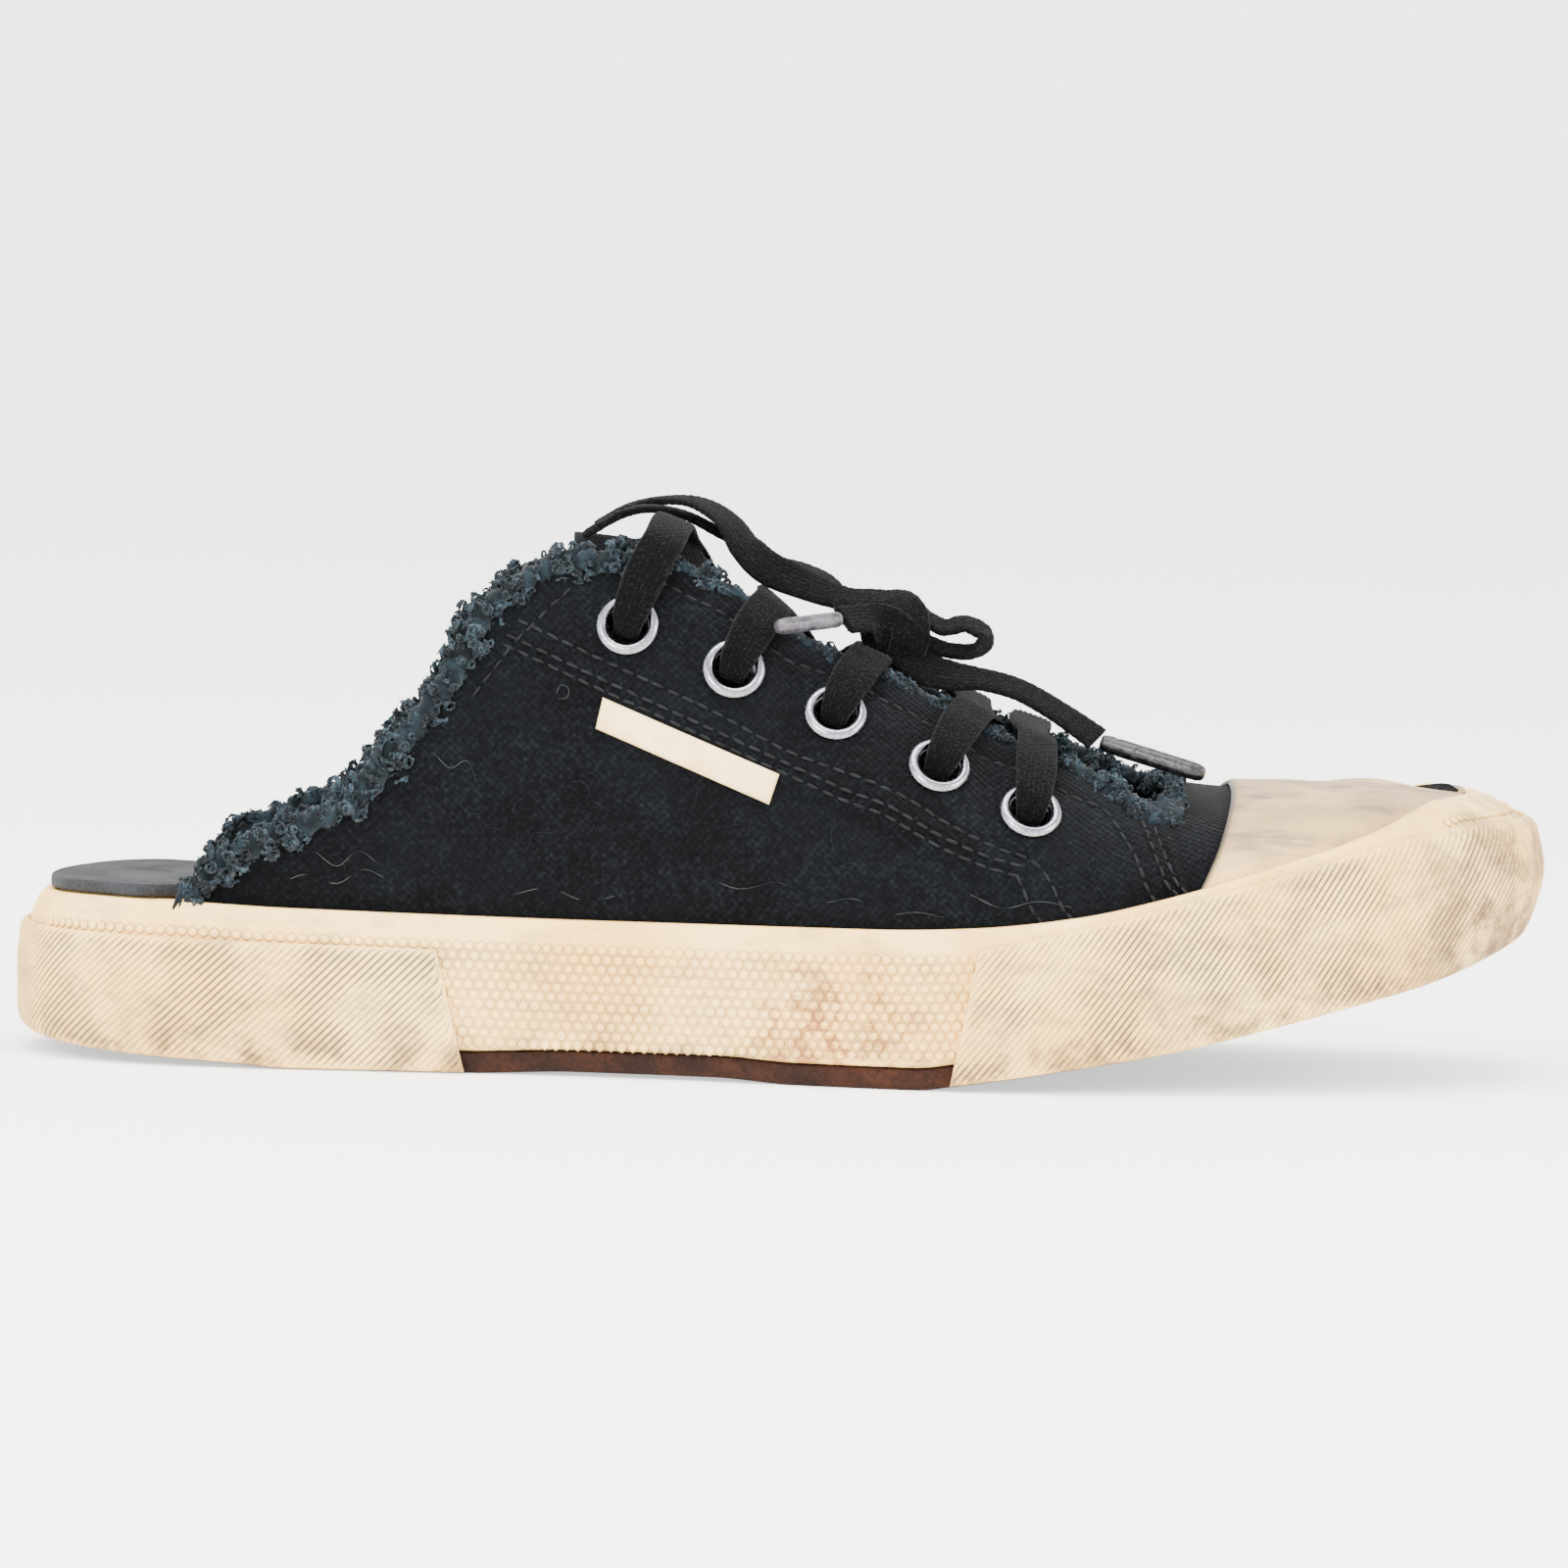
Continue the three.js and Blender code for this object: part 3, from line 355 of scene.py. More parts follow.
# ------------------------------------------------------------------ outsole
# A flat plate of brown gum rubber under the whole shoe, pressed with small hexagonal treads. Only
# its edge shows, between the two bumpers. It is cemented to the foxing wall.
GAP = 0.3
OUTSOLE = 4.0
PLAN = [[-145, 0], [-142.6, -14], [-135, -25.5], [-122, -33], [-104, -36.8], [-80, -37.6],
        [-50, -38.6], [-22, -42], [2, -47], [26, -51.6], [50, -52.4], [73, -50.2], [94, -45.6],
        [112, -39.2], [127, -30], [138, -17.5], [143.8, -4], [145.2, 8], [142.6, 21], [135, 33],
        [121, 43.2], [100, 50], [75, 53.4], [50, 53.2], [26, 49.6], [2, 43.6], [-22, 39.2], [-50, 37.4],
        [-80, 37.8], [-104, 37.4], [-122, 33.6], [-135, 26], [-142.6, 14.4]]
TOE_TIP = (145.2, 8)
# profiles along the length: x, z
BASE = [[-146, 4.6], [-142, 3.5], [-125, 1.8], [-103, 0.7], [-92, 0], [-60, 0], [-38, 0.8], [-12, 0.8],
        [4, 0], [26, 0], [34, 1.0], [44, 2.5], [57, 4.7], [75, 8.0], [93, 12.4], [112, 17.4], [131, 22.5],
        [141, 25.2], [147, 26.8]]
FOX_TOP = [[-146, 30.8], [-129, 31.3], [-114, 31.2], [-92, 30.5], [-36, 29.7], [19, 30.1], [37, 30.9],
           [56, 33.2], [74, 37.3], [98, 44.5], [115, 49.8], [126, 53.2], [133, 54.7], [147, 54.9]]
PLACES = 1600                   # even steps round the outline, heel tip first
TREAD_PITCH, TREAD_WIDE, TREAD_DEEP = 5.2, 2.5, 0.9
TREAD_MARGIN = 5.5


def through(xs, heights, x):
    """smooth monotone curve with given heights (numbers or arrays like x) at the places xs"""
    xs = np.asarray(xs, float)
    x = np.clip(np.asarray(x, float), xs[0], xs[-1])
    ys = np.array([np.broadcast_to(h, x.shape) for h in heights], float)
    steps = np.diff(xs).reshape((-1,) + (1,) * x.ndim)
    slope = np.diff(ys, axis=0) / steps
    before = np.concatenate([slope[:1], slope])
    after = np.concatenate([slope, slope[-1:]])
    both = before + after
    tangent = np.where(before * after <= 0, 0, 2 * before * after / np.where(both == 0, 1, both))
    k = np.clip(np.searchsorted(xs, x) - 1, 0, len(xs) - 2)
    pick = lambda rows, at: np.take_along_axis(rows, at[None], 0)[0]
    h = xs[k + 1] - xs[k]
    t = (x - xs[k]) / h
    return (pick(ys, k) * (1 + 2 * t) * (1 - t) ** 2 + pick(tangent, k) * h * t * (1 - t) ** 2
            + pick(ys, k + 1) * t * t * (3 - 2 * t) - pick(tangent, k + 1) * h * t * t * (1 - t))


def curve(rows):
    xs, heights = zip(*rows)
    return lambda x: through(xs, heights, x)


def smooth(a, b, x):
    t = np.clip((x - a) / (b - a), 0, 1)
    return t * t * (3 - 2 * t)


base, fox_top = curve(BASE), curve(FOX_TOP)
outline, _, _ = even(*[through_points([p + [0] for p in PLAN], 60, closed=True)] * 2, 0.1)
outline = np.vstack([outline, outline[:1]])
run = np.concatenate([[0], np.cumsum(np.linalg.norm(np.diff(outline, axis=0), axis=1))])
PERIMETER = run[-1]
outline = np.stack([np.interp(np.arange(PLACES) * PERIMETER / PLACES, run, c) for c in outline[:, :2].T], -1)
tip_at = int(np.argmin(np.hypot(*(outline - TOE_TIP).T)))
# the place along the inner side straight across from each place of the outer side
inner_x = outline[-np.arange(PLACES - tip_at + 1) % PLACES, 0]
across_at = np.interp(outline[:tip_at + 1, 0], np.maximum.accumulate(inner_x), np.arange(len(inner_x)))
across_at[0] = 0


def outline_at(at, inset):
    """point of the outline at place at (0 to PLACES), pulled in by inset"""
    at = np.asarray(at, float)
    i = np.floor(at).astype(int)
    t = (at - i)[..., None]
    a, b = outline[i % PLACES], outline[(i + 1) % PLACES]
    forward = unit(outline[(i + 7) % PLACES] - outline[(i - 6) % PLACES])
    inward = np.stack([-forward[..., 1], forward[..., 0]], -1)
    return a * (1 - t) + b * t + inward * np.asarray(inset, float)[..., None]


def plan(u, side, inset):
    """point of the outline: u 0 at the heel tip to 1 at the toe tip, side -1 outer or 1 inner"""
    w = np.asarray(u, float) * tip_at
    if side < 0:
        return outline_at(w, inset)
    return outline_at(PLACES - np.interp(w, np.arange(tip_at + 1), across_at), inset)


def wall_inset(x, z):
    """how far the wall stands inside the outline at height z"""
    t, h = smooth(104, 143, x), smooth(-118, -143, x)
    lean = smooth(118, 144, x)
    over = through([0, 2, 6, 13],
                   [1.0 + 9.5 * t + 2.6 * h, 0.5 + 5.5 * t + 1.5 * h, 0.15 + 1.6 * t + 0.6 * h, 0 * t],
                   fox_top(x) - z)
    tuck = through([0, 3, 12], [0.9 + 4.2 * lean + 0.5 * h, 0.3 + 2.6 * lean, 0 * t], z - base(x))
    return over + tuck


def ring(steps, at):
    """closed row of points round the sole; at(x) gives their height and inset"""
    place = np.arange(steps) * PLACES / steps
    x = outline_at(place, 0 * place)[:, 0]
    z, inset = at(x)
    return np.column_stack([outline_at(place, inset + 0 * x), z + 0 * x])


def rings_part(rings, marks=None, close=True):
    """closed skin over rings, bottom ring first, its ends filled with strips across"""
    n = len(rings[0])
    faces = quads(len(rings), n, wrap=True)
    if close:
        for start, flip in ((0, False), ((len(rings) - 1) * n, True)):
            for k in range(n // 2 - 1):
                face = [start + k, start + k + 1, start + n - 1 - k - 1, start + n - 1 - k]
                face = [start + (i - start) % n for i in face]
                faces.append(face[::-1] if flip else face)
    return np.vstack(rings), faces, marks or {}


def scatter_tree():
    """Geometry nodes: puts a small shape on every point, stood on its "out", turned to its "run"."""
    tree = bpy.data.node_groups.new("set_shapes_on_points", "GeometryNodeTree")
    socket = tree.interface.new_socket
    socket("Points", in_out="INPUT", socket_type="NodeSocketGeometry")
    ids = {name: socket(name, in_out="INPUT", socket_type="NodeSocket" + kind).identifier
           for name, kind in (("Shape", "Object"), ("Finish", "Material"), ("Size spread", "Float"),
                              ("Turn spread", "Float"), ("Seed", "Int"))}
    socket("Pieces", in_out="OUTPUT", socket_type="NodeSocketGeometry")
    given = add(tree, "NodeGroupInput").outputs
    read = {}
    for name in ("out", "run"):
        found = add(tree, "GeometryNodeInputNamedAttribute", {"Name": name}, data_type="FLOAT_VECTOR")
        read[name] = found.outputs[0]
    size = add(tree, "GeometryNodeInputNamedAttribute", {"Name": "size"}, data_type="FLOAT").outputs[0]
    stood = add(tree, "FunctionNodeAlignRotationToVector", {"Vector": read["out"]}, axis="Z")
    facing = add(tree, "FunctionNodeAlignRotationToVector",
                 {"Rotation": stood.outputs[0], "Vector": read["run"]}, axis="X", pivot_axis="Z")
    less = add(tree, "ShaderNodeMath", {0: given["Turn spread"], 1: -1.0}, operation="MULTIPLY").outputs[0]
    spin = add(tree, "FunctionNodeRandomValue", {2: less, 3: given["Turn spread"], "Seed": given["Seed"]},
               data_type="FLOAT")
    turn = add(tree, "FunctionNodeAxisAngleToRotation", {"Axis": (0, 0, 1), "Angle": spin.outputs[1]})
    turned = add(tree, "FunctionNodeRotateRotation",
                 {"Rotation": facing.outputs[0], "Rotate By": turn.outputs[0]}, rotation_space="LOCAL")
    small = add(tree, "ShaderNodeMath", {0: 1.0, 1: given["Size spread"]}, operation="SUBTRACT").outputs[0]
    large = add(tree, "ShaderNodeMath", {0: 1.0, 1: given["Size spread"]}, operation="ADD").outputs[0]
    grow = add(tree, "FunctionNodeRandomValue", {2: small, 3: large, "Seed": given["Seed"]},
               data_type="FLOAT")
    scale = add(tree, "ShaderNodeMath", {0: grow.outputs[1], 1: size}, operation="MULTIPLY").outputs[0]
    what = add(tree, "GeometryNodeObjectInfo", {"Object": given["Shape"]})
    placed = add(tree, "GeometryNodeInstanceOnPoints", {
        "Points": given["Points"], "Instance": what.outputs["Geometry"], "Rotation": turned.outputs[0],
        "Scale": scale})
    real = add(tree, "GeometryNodeRealizeInstances", {"Geometry": placed.outputs[0]})
    done = add(tree, "GeometryNodeSetMaterial", {"Geometry": real.outputs[0], "Material": given["Finish"]})
    add(tree, "NodeGroupOutput", {"Pieces": done.outputs[0]})
    return tree, ids


SET_SHAPES, SET_IDS = scatter_tree()


def set_shapes(name, points, out, run, small, finish, size=1.0, size_spread=0.0, turn_spread=0.0, seed=1):
    """small (points in mm, faces) at every point, as one plain mesh"""
    marks = {"out": np.broadcast_to(out, points.shape), "run": np.broadcast_to(run, points.shape),
             "size": np.broadcast_to(np.asarray(size, float), len(points))}
    made = piece(name, points, [], finish, marks)
    little = piece(name + "_shape", small[0] - SHIFT, small[1], finish)
    modifier = made.modifiers.new("set_shapes", "NODES")
    modifier.node_group = SET_SHAPES
    for key, value in (("Shape", little), ("Finish", finish), ("Size spread", size_spread),
                       ("Turn spread", turn_spread), ("Seed", seed)):
        modifier[SET_IDS[key]] = value
    depsgraph = bpy.context.evaluated_depsgraph_get()
    mesh = bpy.data.meshes.new_from_object(made.evaluated_get(depsgraph))
    made.modifiers.clear()
    made.data = mesh
    bpy.data.objects.remove(little)
    mesh.shade_smooth()
    return made


def join_pieces(made, *others):
    """several objects of one finish as one piece"""
    work = bmesh.new()
    for o in (made, *others):
        work.from_mesh(o.data)
    work.to_mesh(made.data)
    work.free()
    for o in others:
        bpy.data.objects.remove(o)
    return made


def frustum(sides, low, high, tall, turn=0.0):
    """small stud: a prism that narrows to its top"""
    angle = np.arange(sides) / sides * 2 * np.pi + turn
    circle = np.column_stack([np.cos(angle), np.sin(angle)])
    points = np.vstack([np.column_stack([circle * low, np.zeros(sides)]),
                        np.column_stack([circle * high, np.full(sides, tall)])])
    faces = [[k, (k + 1) % sides, sides + (k + 1) % sides, sides + k] for k in range(sides)]
    return points, faces + [list(range(sides, 2 * sides)), list(range(sides))[::-1]]


def gum_rubber():
    """Moulded brown gum rubber: satin, darker where road dirt is rubbed in."""
    material, tree, where = start_finish("gum_rubber")
    worn = cloud(tree, where, 9.0, detail=5)
    grit = cloud(tree, where, 0.8, detail=4, low=0.45, high=0.7)
    colour = tint(tree, worn, "#1c0a03", "#301608")
    colour = tint(tree, times(tree, grit, 0.5), colour, "#100602")
    close_finish(tree, Base_Color=colour, Roughness=0.8, Specular_IOR_Level=0.2,
                 Normal=relief(tree, grit, 0.15))
    return material


gum = gum_rubber()
steps = 480
sole_edge = lambda lift, extra: lambda x: (base(x) + lift, wall_inset(x, base(x) + 2) + 0.45 + extra)
part = rings_part([ring(steps, sole_edge(*row)) for row in (
    (TREAD_DEEP, TREAD_MARGIN - 1), (0.12, TREAD_MARGIN - 1.4), (0, TREAD_MARGIN - 2), (0, 1.0), (0.3, 0.45),
    (0.9, 0.15), (2.4, 0), (OUTSOLE - 0.3, 0.05), (OUTSOLE, 0.4))])
plate = piece("outsole_plate", *part[:2], gum, tidy=True)
gx, gy = np.meshgrid(np.arange(-140, 140, TREAD_PITCH * 0.866), np.arange(-52, 54, TREAD_PITCH))
gy = gy + (np.arange(gx.shape[1]) % 2) * TREAD_PITCH / 2
grid = np.column_stack([gx.ravel(), gy.ravel()])
edge = ring(steps, sole_edge(0, 0))[:, :2]
inward = unit(np.roll(edge, -1, 0) - edge)[:, ::-1] * [-1, 1]
reach = np.linalg.norm(grid[:, None] - edge[None], axis=2)
nearest = reach.argmin(1)
depth_in = ((grid - edge[nearest]) * inward[nearest]).sum(1)
grid = grid[depth_in > TREAD_MARGIN + TREAD_WIDE - 0.4]
slope = (base(grid[:, 0] + 1) - base(grid[:, 0] - 1)) / 2
# a stud's rim stays above the base line where the sole rolls up
points = np.column_stack([grid, base(grid[:, 0]) + TREAD_DEEP])
down = unit(np.column_stack([slope, 0 * slope, -1 + 0 * slope]))
tread = frustum(6, TREAD_WIDE, TREAD_WIDE - 0.45, TREAD_DEEP)
treads = set_shapes("treads", points, down, (1, 0, 0), tread, gum)
treads.data.set_sharp_from_angle(angle=math.radians(30))
finish_piece(join_pieces(plate, treads), "gum_rubber", "outsole")

# ------------------------------------------------------------------ foxing
# The cream rubber wall wrapped round the shoe and vulcanised to the upper: a smooth band on top,
# small hexagon pips below it, and a rim that turns in to the feather line.
RIM = 2.6
PIP_PITCH, PIP_TALL = 2.1, 0.42
floor_row = curve([[-146, 32], [-116, 31.5], [-107, 28.6], [-90, 26.6], [-50, 21.5], [0, 17.4], [40, 17.0],
                   [60, 18.2], [80, 21.6], [100, 26.8], [120, 32.4], [147, 39]])
heel_band_top = curve([[-147, 24.9], [-100, 24.2], [-55, 23.4]])
toe_band_top = curve([[30, 25.8], [38, 27.1], [56, 31.2], [74, 36], [92.6, 41.1], [111, 46.5], [125, 49.6],
                      [137, 50.8], [147, 50.6]])
HEEL_BAND_END, TOE_BAND_END = (-64.7, -59.0), (37.6, 32.7)     # x of the slanted end, at its top and foot


def floor_z(x):
    return np.minimum(fox_top(x) - 0.1, floor_row(x))


def rim_inset(x):
    return wall_inset(x, fox_top(x)) + RIM


def smooth_band(x):
    """height of the smooth band under the rim"""
    return 4.6 - 2.5 * smooth(60, 112, x)


def low_dirt(tree, where, foot, reach):
    """1 at the foot of the wall, gone reach mm above it; the foot follows the toe spring"""
    xyz = add(tree, "ShaderNodeSeparateXYZ", {0: where})
    spring = add(tree, "ShaderNodeMapRange", {"Value": xyz.outputs["X"], "From Min": 0.034, "From Max": 0.145,
                                              "To Min": 0.0, "To Max": 0.026}).outputs["Result"]
    above = times(tree, xyz.outputs["Z"], spring, operation="SUBTRACT")
    return add(tree, "ShaderNodeMapRange",
               {"Value": above, "From Min": (foot + reach) * MM, "From Max": foot * MM},
               interpolation_type="SMOOTHSTEP").outputs["Result"]


def near(tree, where, place, reach):
    """1 at a place, in mm, fading out reach mm away"""
    centre = (np.array(place) + SHIFT) * MM
    away = add(tree, "ShaderNodeVectorMath", {0: where, 1: tuple(centre)}, operation="DISTANCE")
    return add(tree, "ShaderNodeMapRange",
               {"Value": away.outputs["Value"], "From Min": reach * MM, "From Max": 0.2 * reach * MM},
               interpolation_type="SMOOTHSTEP").outputs["Result"]


def cream_rubber(name, smudge, groove_darkening):
    """White rubber gone yellow with age: satin, grey smudges on top, brown road dirt low down and at
    the toe, darker in patches along the grooves of the moulding and at the feet of the pips."""
    material, tree, where = start_finish(name)
    yellowed = cloud(tree, where, 24, detail=4)
    colour = tint(tree, yellowed, "#ffd684", "#f7c568")
    dragged = add(tree, "ShaderNodeMapping", {"Vector": where, "Scale": (0.6, 0.6, 1.2)}).outputs[0]
    grey = cloud(tree, dragged, 6, detail=9, low=0.46, high=0.66, rough=0.72)
    colour = tint(tree, times(tree, grey, smudge), colour, "#7c6c56")
    wiped = cloud(tree, dragged, 15, detail=9, low=0.46, high=0.68, rough=0.74)
    colour = tint(tree, times(tree, wiped, smudge), colour, "#c09a58")
    mud = cloud(tree, where, 7, detail=8, low=0.42, high=0.62, rough=0.68)
    colour = tint(tree, times(tree, low_dirt(tree, where, 2, 9), mud, 0.7), colour, "#6d4f2c")
    rubbed = cloud(tree, where, 9, detail=8, low=0.38, high=0.64, rough=0.72)
    colour = tint(tree, times(tree, near(tree, where, (138, -14, 30), 44), rubbed), colour, "#6e4a20")
    clay = cloud(tree, where, 3.4, detail=5, low=0.5, high=0.62)
    red = times(tree, near(tree, where, (10, -50, 8), 26), clay, 0.8)
    colour = tint(tree, red, colour, "#b0703c")
    # darker in patches where the groove mark lies: in the rib grooves and at the feet of the pips
    groove = add(tree, "ShaderNodeAttribute", attribute_name="groove").outputs["Fac"]
    patchy = cloud(tree, where, 14, detail=5, low=0.35, high=0.62)
    groove_darkening_share = times(tree, groove, times(tree, patchy, 0.55, operation="ADD"), groove_darkening)
    colour = tint(tree, groove_darkening_share, colour, "#4a3a26")
    scuff = cloud(tree, where, 1.3, detail=6, low=0.4, high=0.75)
    rough = add(tree, "ShaderNodeMapRange", {"Value": scuff, "To Min": 0.5, "To Max": 0.68}).outputs["Result"]
    close_finish(tree, Base_Color=colour, Roughness=rough, IOR=1.52, Normal=relief(tree, scuff, 0.06))
    return material


wall_rubber = cream_rubber("cream_wall_rubber", 0.3, 0.45)
steps = 960
wall = lambda lift: lambda x: (base(x) + lift, wall_inset(x, base(x) + lift))
share_up = lambda s: lambda x: (base(x) + 5 + (fox_top(x) - 9 - base(x) - 5) * s,
                                wall_inset(x, base(x) + 5 + (fox_top(x) - 9 - base(x) - 5) * s))
below = lambda drop: lambda x: (fox_top(x) - drop, wall_inset(x, fox_top(x) - drop))
rows = [ring(steps, lambda x: (base(x) + OUTSOLE + GAP, wall_inset(x, base(x) + 2) + 0.9)),
        ring(steps, lambda x: (base(x) + OUTSOLE + GAP + 0.15, wall_inset(x, base(x) + 2) + 0.4))]
rows += [ring(steps, share_up(s)) for s in np.linspace(0, 1, 8)]
rows += [ring(steps, below(d)) for d in (7, 5.6, 4.6, 4.2, 3.4, 2.6, 1.9, 1.3, 0.8, 0.4, 0.15)]
rows += [ring(steps, lambda x: (fox_top(x) - 0.02, wall_inset(x, fox_top(x)) + 0.35)),
         ring(steps, lambda x: (fox_top(x), wall_inset(x, fox_top(x)) + 0.8)),
         ring(steps, lambda x: (fox_top(x) - 0.1, rim_inset(x) - 0.3)),
         ring(steps, lambda x: (fox_top(x) - 0.4, rim_inset(x))),
         ring(steps, lambda x: (floor_z(x), rim_inset(x) + 0.05))]
part = rings_part(rows)
shell = piece("foxing_wall", *part[:2], wall_rubber, tidy=True)


def wall_points(at, z, stand):
    """points standing off the wall at outline places and heights, with their normals"""
    x = outline_at(at, 0 * z)[:, 0]
    point = lambda a, h: np.column_stack([outline_at(a, wall_inset(outline_at(a, 0 * h)[:, 0], h)), h])
    p = point(at, z)
    forward = unit(point(at + 0.8, z) - point(at - 0.8, z))
    upward = unit(point(at, z + 0.15) - point(at, z - 0.15))
    out = unit(np.cross(forward, upward))
    return p + out * stand, out, forward, x


def band_cover(x, z, margin):
    """where a bumper covers the wall"""
    up_share = (z - base(x)) / 22
    heel_end = HEEL_BAND_END[1] + (HEEL_BAND_END[0] - HEEL_BAND_END[1]) * up_share
    toe_end = TOE_BAND_END[1] + (TOE_BAND_END[0] - TOE_BAND_END[1]) * up_share
    return (((x < heel_end + margin) & (z < heel_band_top(x) + margin))
            | ((x > toe_end - margin) & (z < toe_band_top(x) + margin)))


columns = round(PERIMETER / PIP_PITCH)
rows_up = np.arange(0, 52, PIP_PITCH * 0.866)
col, row = np.meshgrid(np.arange(columns), np.arange(len(rows_up)))
at = ((col + 0.5 * (row % 2)) * PLACES / columns).ravel()
x = outline_at(at, 0 * at)[:, 0]
z = fox_top(x) - smooth_band(x) - 0.9 - rows_up[row.ravel()]
keep = (z > base(x) + OUTSOLE + 1.2) & ~band_cover(x, z, 0.7)
at, z = at[keep], z[keep]
points, out, forward, x = wall_points(at, z, -0.06)
pips = set_shapes("pips", points, out, forward, frustum(6, 1.16, 0.72, PIP_TALL, np.pi / 6), wall_rubber,
                  size_spread=0.04)
# the foot of each pip takes the darker groove colour, its top does not
local = np.zeros(len(pips.data.vertices), np.float32)
local.reshape(-1, 12)[:, :6] = 1
pips.data.attributes.new("groove", "FLOAT", "POINT").data.foreach_set("value", local)
finish_piece(join_pieces(shell, pips), "cream_rubber", "foxing")

# ------------------------------------------------------------------ bumpers
# Two thick strips of ribbed cream rubber wrapped round the heel and the toe over the foxing, their
# ribs slanting up to the toe on each side and meeting in a chevron. Cemented, with slanted ends.
BUMPER = 1.4
RIB_PITCH, RIB_DEEP = 1.62, 0.42
RIB_SLANT = 1.05                # forward run of a rib for its rise


def ribbed_half(side, toe):
    """one side of a bumper, from the tip of the shoe to its slanted end"""
    top = toe_band_top if toe else heel_band_top
    end_top, end_low = TOE_BAND_END if toe else HEEL_BAND_END
    ups = np.array([0, 0.025, 0.07, 0.14, 0.24, 0.34, 0.44, 0.54, 0.64, 0.74, 0.84, 0.92, 0.965, 1.0])
    side_places = np.arange(0, tip_at + 1) if side < 0 else PLACES - np.arange(0, PLACES - tip_at + 1)
    side_x = np.maximum.accumulate(outline[side_places % PLACES, 0])
    # length along this side, from the shoe's tip towards the end of the strip
    run_of = lambda xx: np.interp(xx, side_x, np.arange(len(side_x))) * PERIMETER / PLACES
    total = (len(side_x) - 1) * PERIMETER / PLACES
    far = np.array([run_of(end_low + (end_top - end_low) * v) for v in ups])
    low, high = (far, np.full(len(ups), total)) if toe else (np.zeros(len(ups)), far)
    tall = 22.0
    count = int((total if toe else far.max()) / RIB_PITCH * 4) + 80
    start = (far.min() if toe else 0) - 30
    run_at = start + np.arange(count) * RIB_PITCH / 4
    run = run_at[:, None] + (ups * tall * RIB_SLANT)[None]
    run = np.clip(run, low[None], high[None])
    rib = np.array([1.0, 0.86, 0.0, 0.86])[np.arange(count) % 4][:, None] * np.ones(len(ups))
    place = run / PERIMETER * PLACES
    place = place if side < 0 else PLACES - place
    x = outline_at(place, 0 * place)[..., 0]
    foot = base(x) + 0.35
    z = foot + (top(x) - foot) * ups
    flat = (smooth(0, 0.05, ups) * smooth(1, 0.95, ups))[None]
    ends = smooth(0, 0.9, far[None] - run if not toe else run - far[None]) * flat
    shaped = 1 - (1 - rib) * ends
    edge = 0.62 * (1 - np.sqrt(np.clip(1 - (1 - np.clip(np.minimum(ups, 1 - ups) / 0.07, 0, 1)) ** 2, 0, 1)))
    toe_lean = smooth(104, 143, x)
    inset = wall_inset(x, z) - GAP - 0.12 - 0.6 * toe_lean - BUMPER + edge[None] + RIB_DEEP * (1 - shaped)
    face = np.concatenate([outline_at(place, inset), z[..., None]], -1)
    back_inset = wall_inset(x, z) - GAP - 0.12 - 0.6 * toe_lean
    behind = np.concatenate([outline_at(place, back_inset), z[..., None]], -1)
    ring_points = np.concatenate([face, behind[:, [-1, -4, 3, 0]]], 1)
    groove = np.concatenate([(1 - shaped) + 0 * x, np.zeros((count, 4))], 1)
    n = ring_points.shape[1]
    faces = quads(count, n, wrap=True)
    faces += [list(range(n)), list(range((count - 1) * n, count * n))[::-1]]
    return ring_points.reshape(-1, 3), faces, {"groove": groove.ravel()}


ribbed_rubber = cream_rubber("ribbed_cream_rubber", 0.5, 0.8)
for name, toe in (("heel_bumper", False), ("toe_bumper", True)):
    points, faces, marks = shape([ribbed_half(side, toe) for side in (-1, 1)])
    made = piece(name + "_ribbed", points, faces, ribbed_rubber, marks, tidy=True)
    finish_piece(made, "ribbed_rubber", name)

# ------------------------------------------------------------------ insole
# A dark fabric-covered board glued on the sole inside the foxing. Behind the upper it runs out
# over the rim, standing a little proud of it.
INSOLE, CANVAS = 2.4, 1.8
CAP_ROOM = 1.55                 # space between upper and rim for the toe cap


def cap_zone(x):
    return smooth(56, 78, x)


def feather_inset(x):
    return rim_inset(x) + GAP + CAP_ROOM * cap_zone(x)


def covered_board():
    """Fine charcoal textile bonded to board: matt, small even grain, rubbed lighter at the heel."""
    material, tree, where = start_finish("covered_board")
    lined = add(tree, "ShaderNodeMapping", {"Vector": where, "Scale": (1.0, 1.6, 1.0)}).outputs[0]
    grain = cloud(tree, lined, 0.5, detail=2, low=0.4, high=0.62)
    rubbed = times(tree, near(tree, where, (-118, 0, 33), 48), cloud(tree, where, 14, detail=5), 0.7)
    colour = tint(tree, grain, "#0f1012", "#1e2023")
    colour = tint(tree, rubbed, colour, "#3b3d41")
    close_finish(tree, Base_Color=colour, Roughness=0.86, Specular_IOR_Level=0.3,
                 Normal=relief(tree, grain, 0.12))
    return material


def insole_inset(x):
    s = smooth(-124, -115, x)
    return (wall_inset(x, fox_top(x)) + 0.9) * (1 - s) + (feather_inset(x) + CANVAS + GAP + 0.2) * s


def insole_foot(x):
    s = smooth(-116, -111, x)
    return (fox_top(x) + GAP) * (1 - s) + np.minimum(fox_top(x) + GAP, floor_z(x) + GAP + 0.12) * s


insole_row = lambda lift, extra: lambda x: (insole_foot(x) + lift, insole_inset(x) + extra)
part = rings_part([ring(720, insole_row(*row)) for row in (
    (0, 0.5), (0.25, 0.1), (0.7, 0), (INSOLE - 0.7, 0), (INSOLE - 0.2, 0.15), (INSOLE, 0.55), (INSOLE, 1.4),
    (INSOLE - 0.25, 6), (INSOLE - 0.45, 14), (INSOLE - 0.5, 22))])
finish_piece(piece("insole_board", *part[:2], covered_board(), tidy=True), "insole_board", "insole")

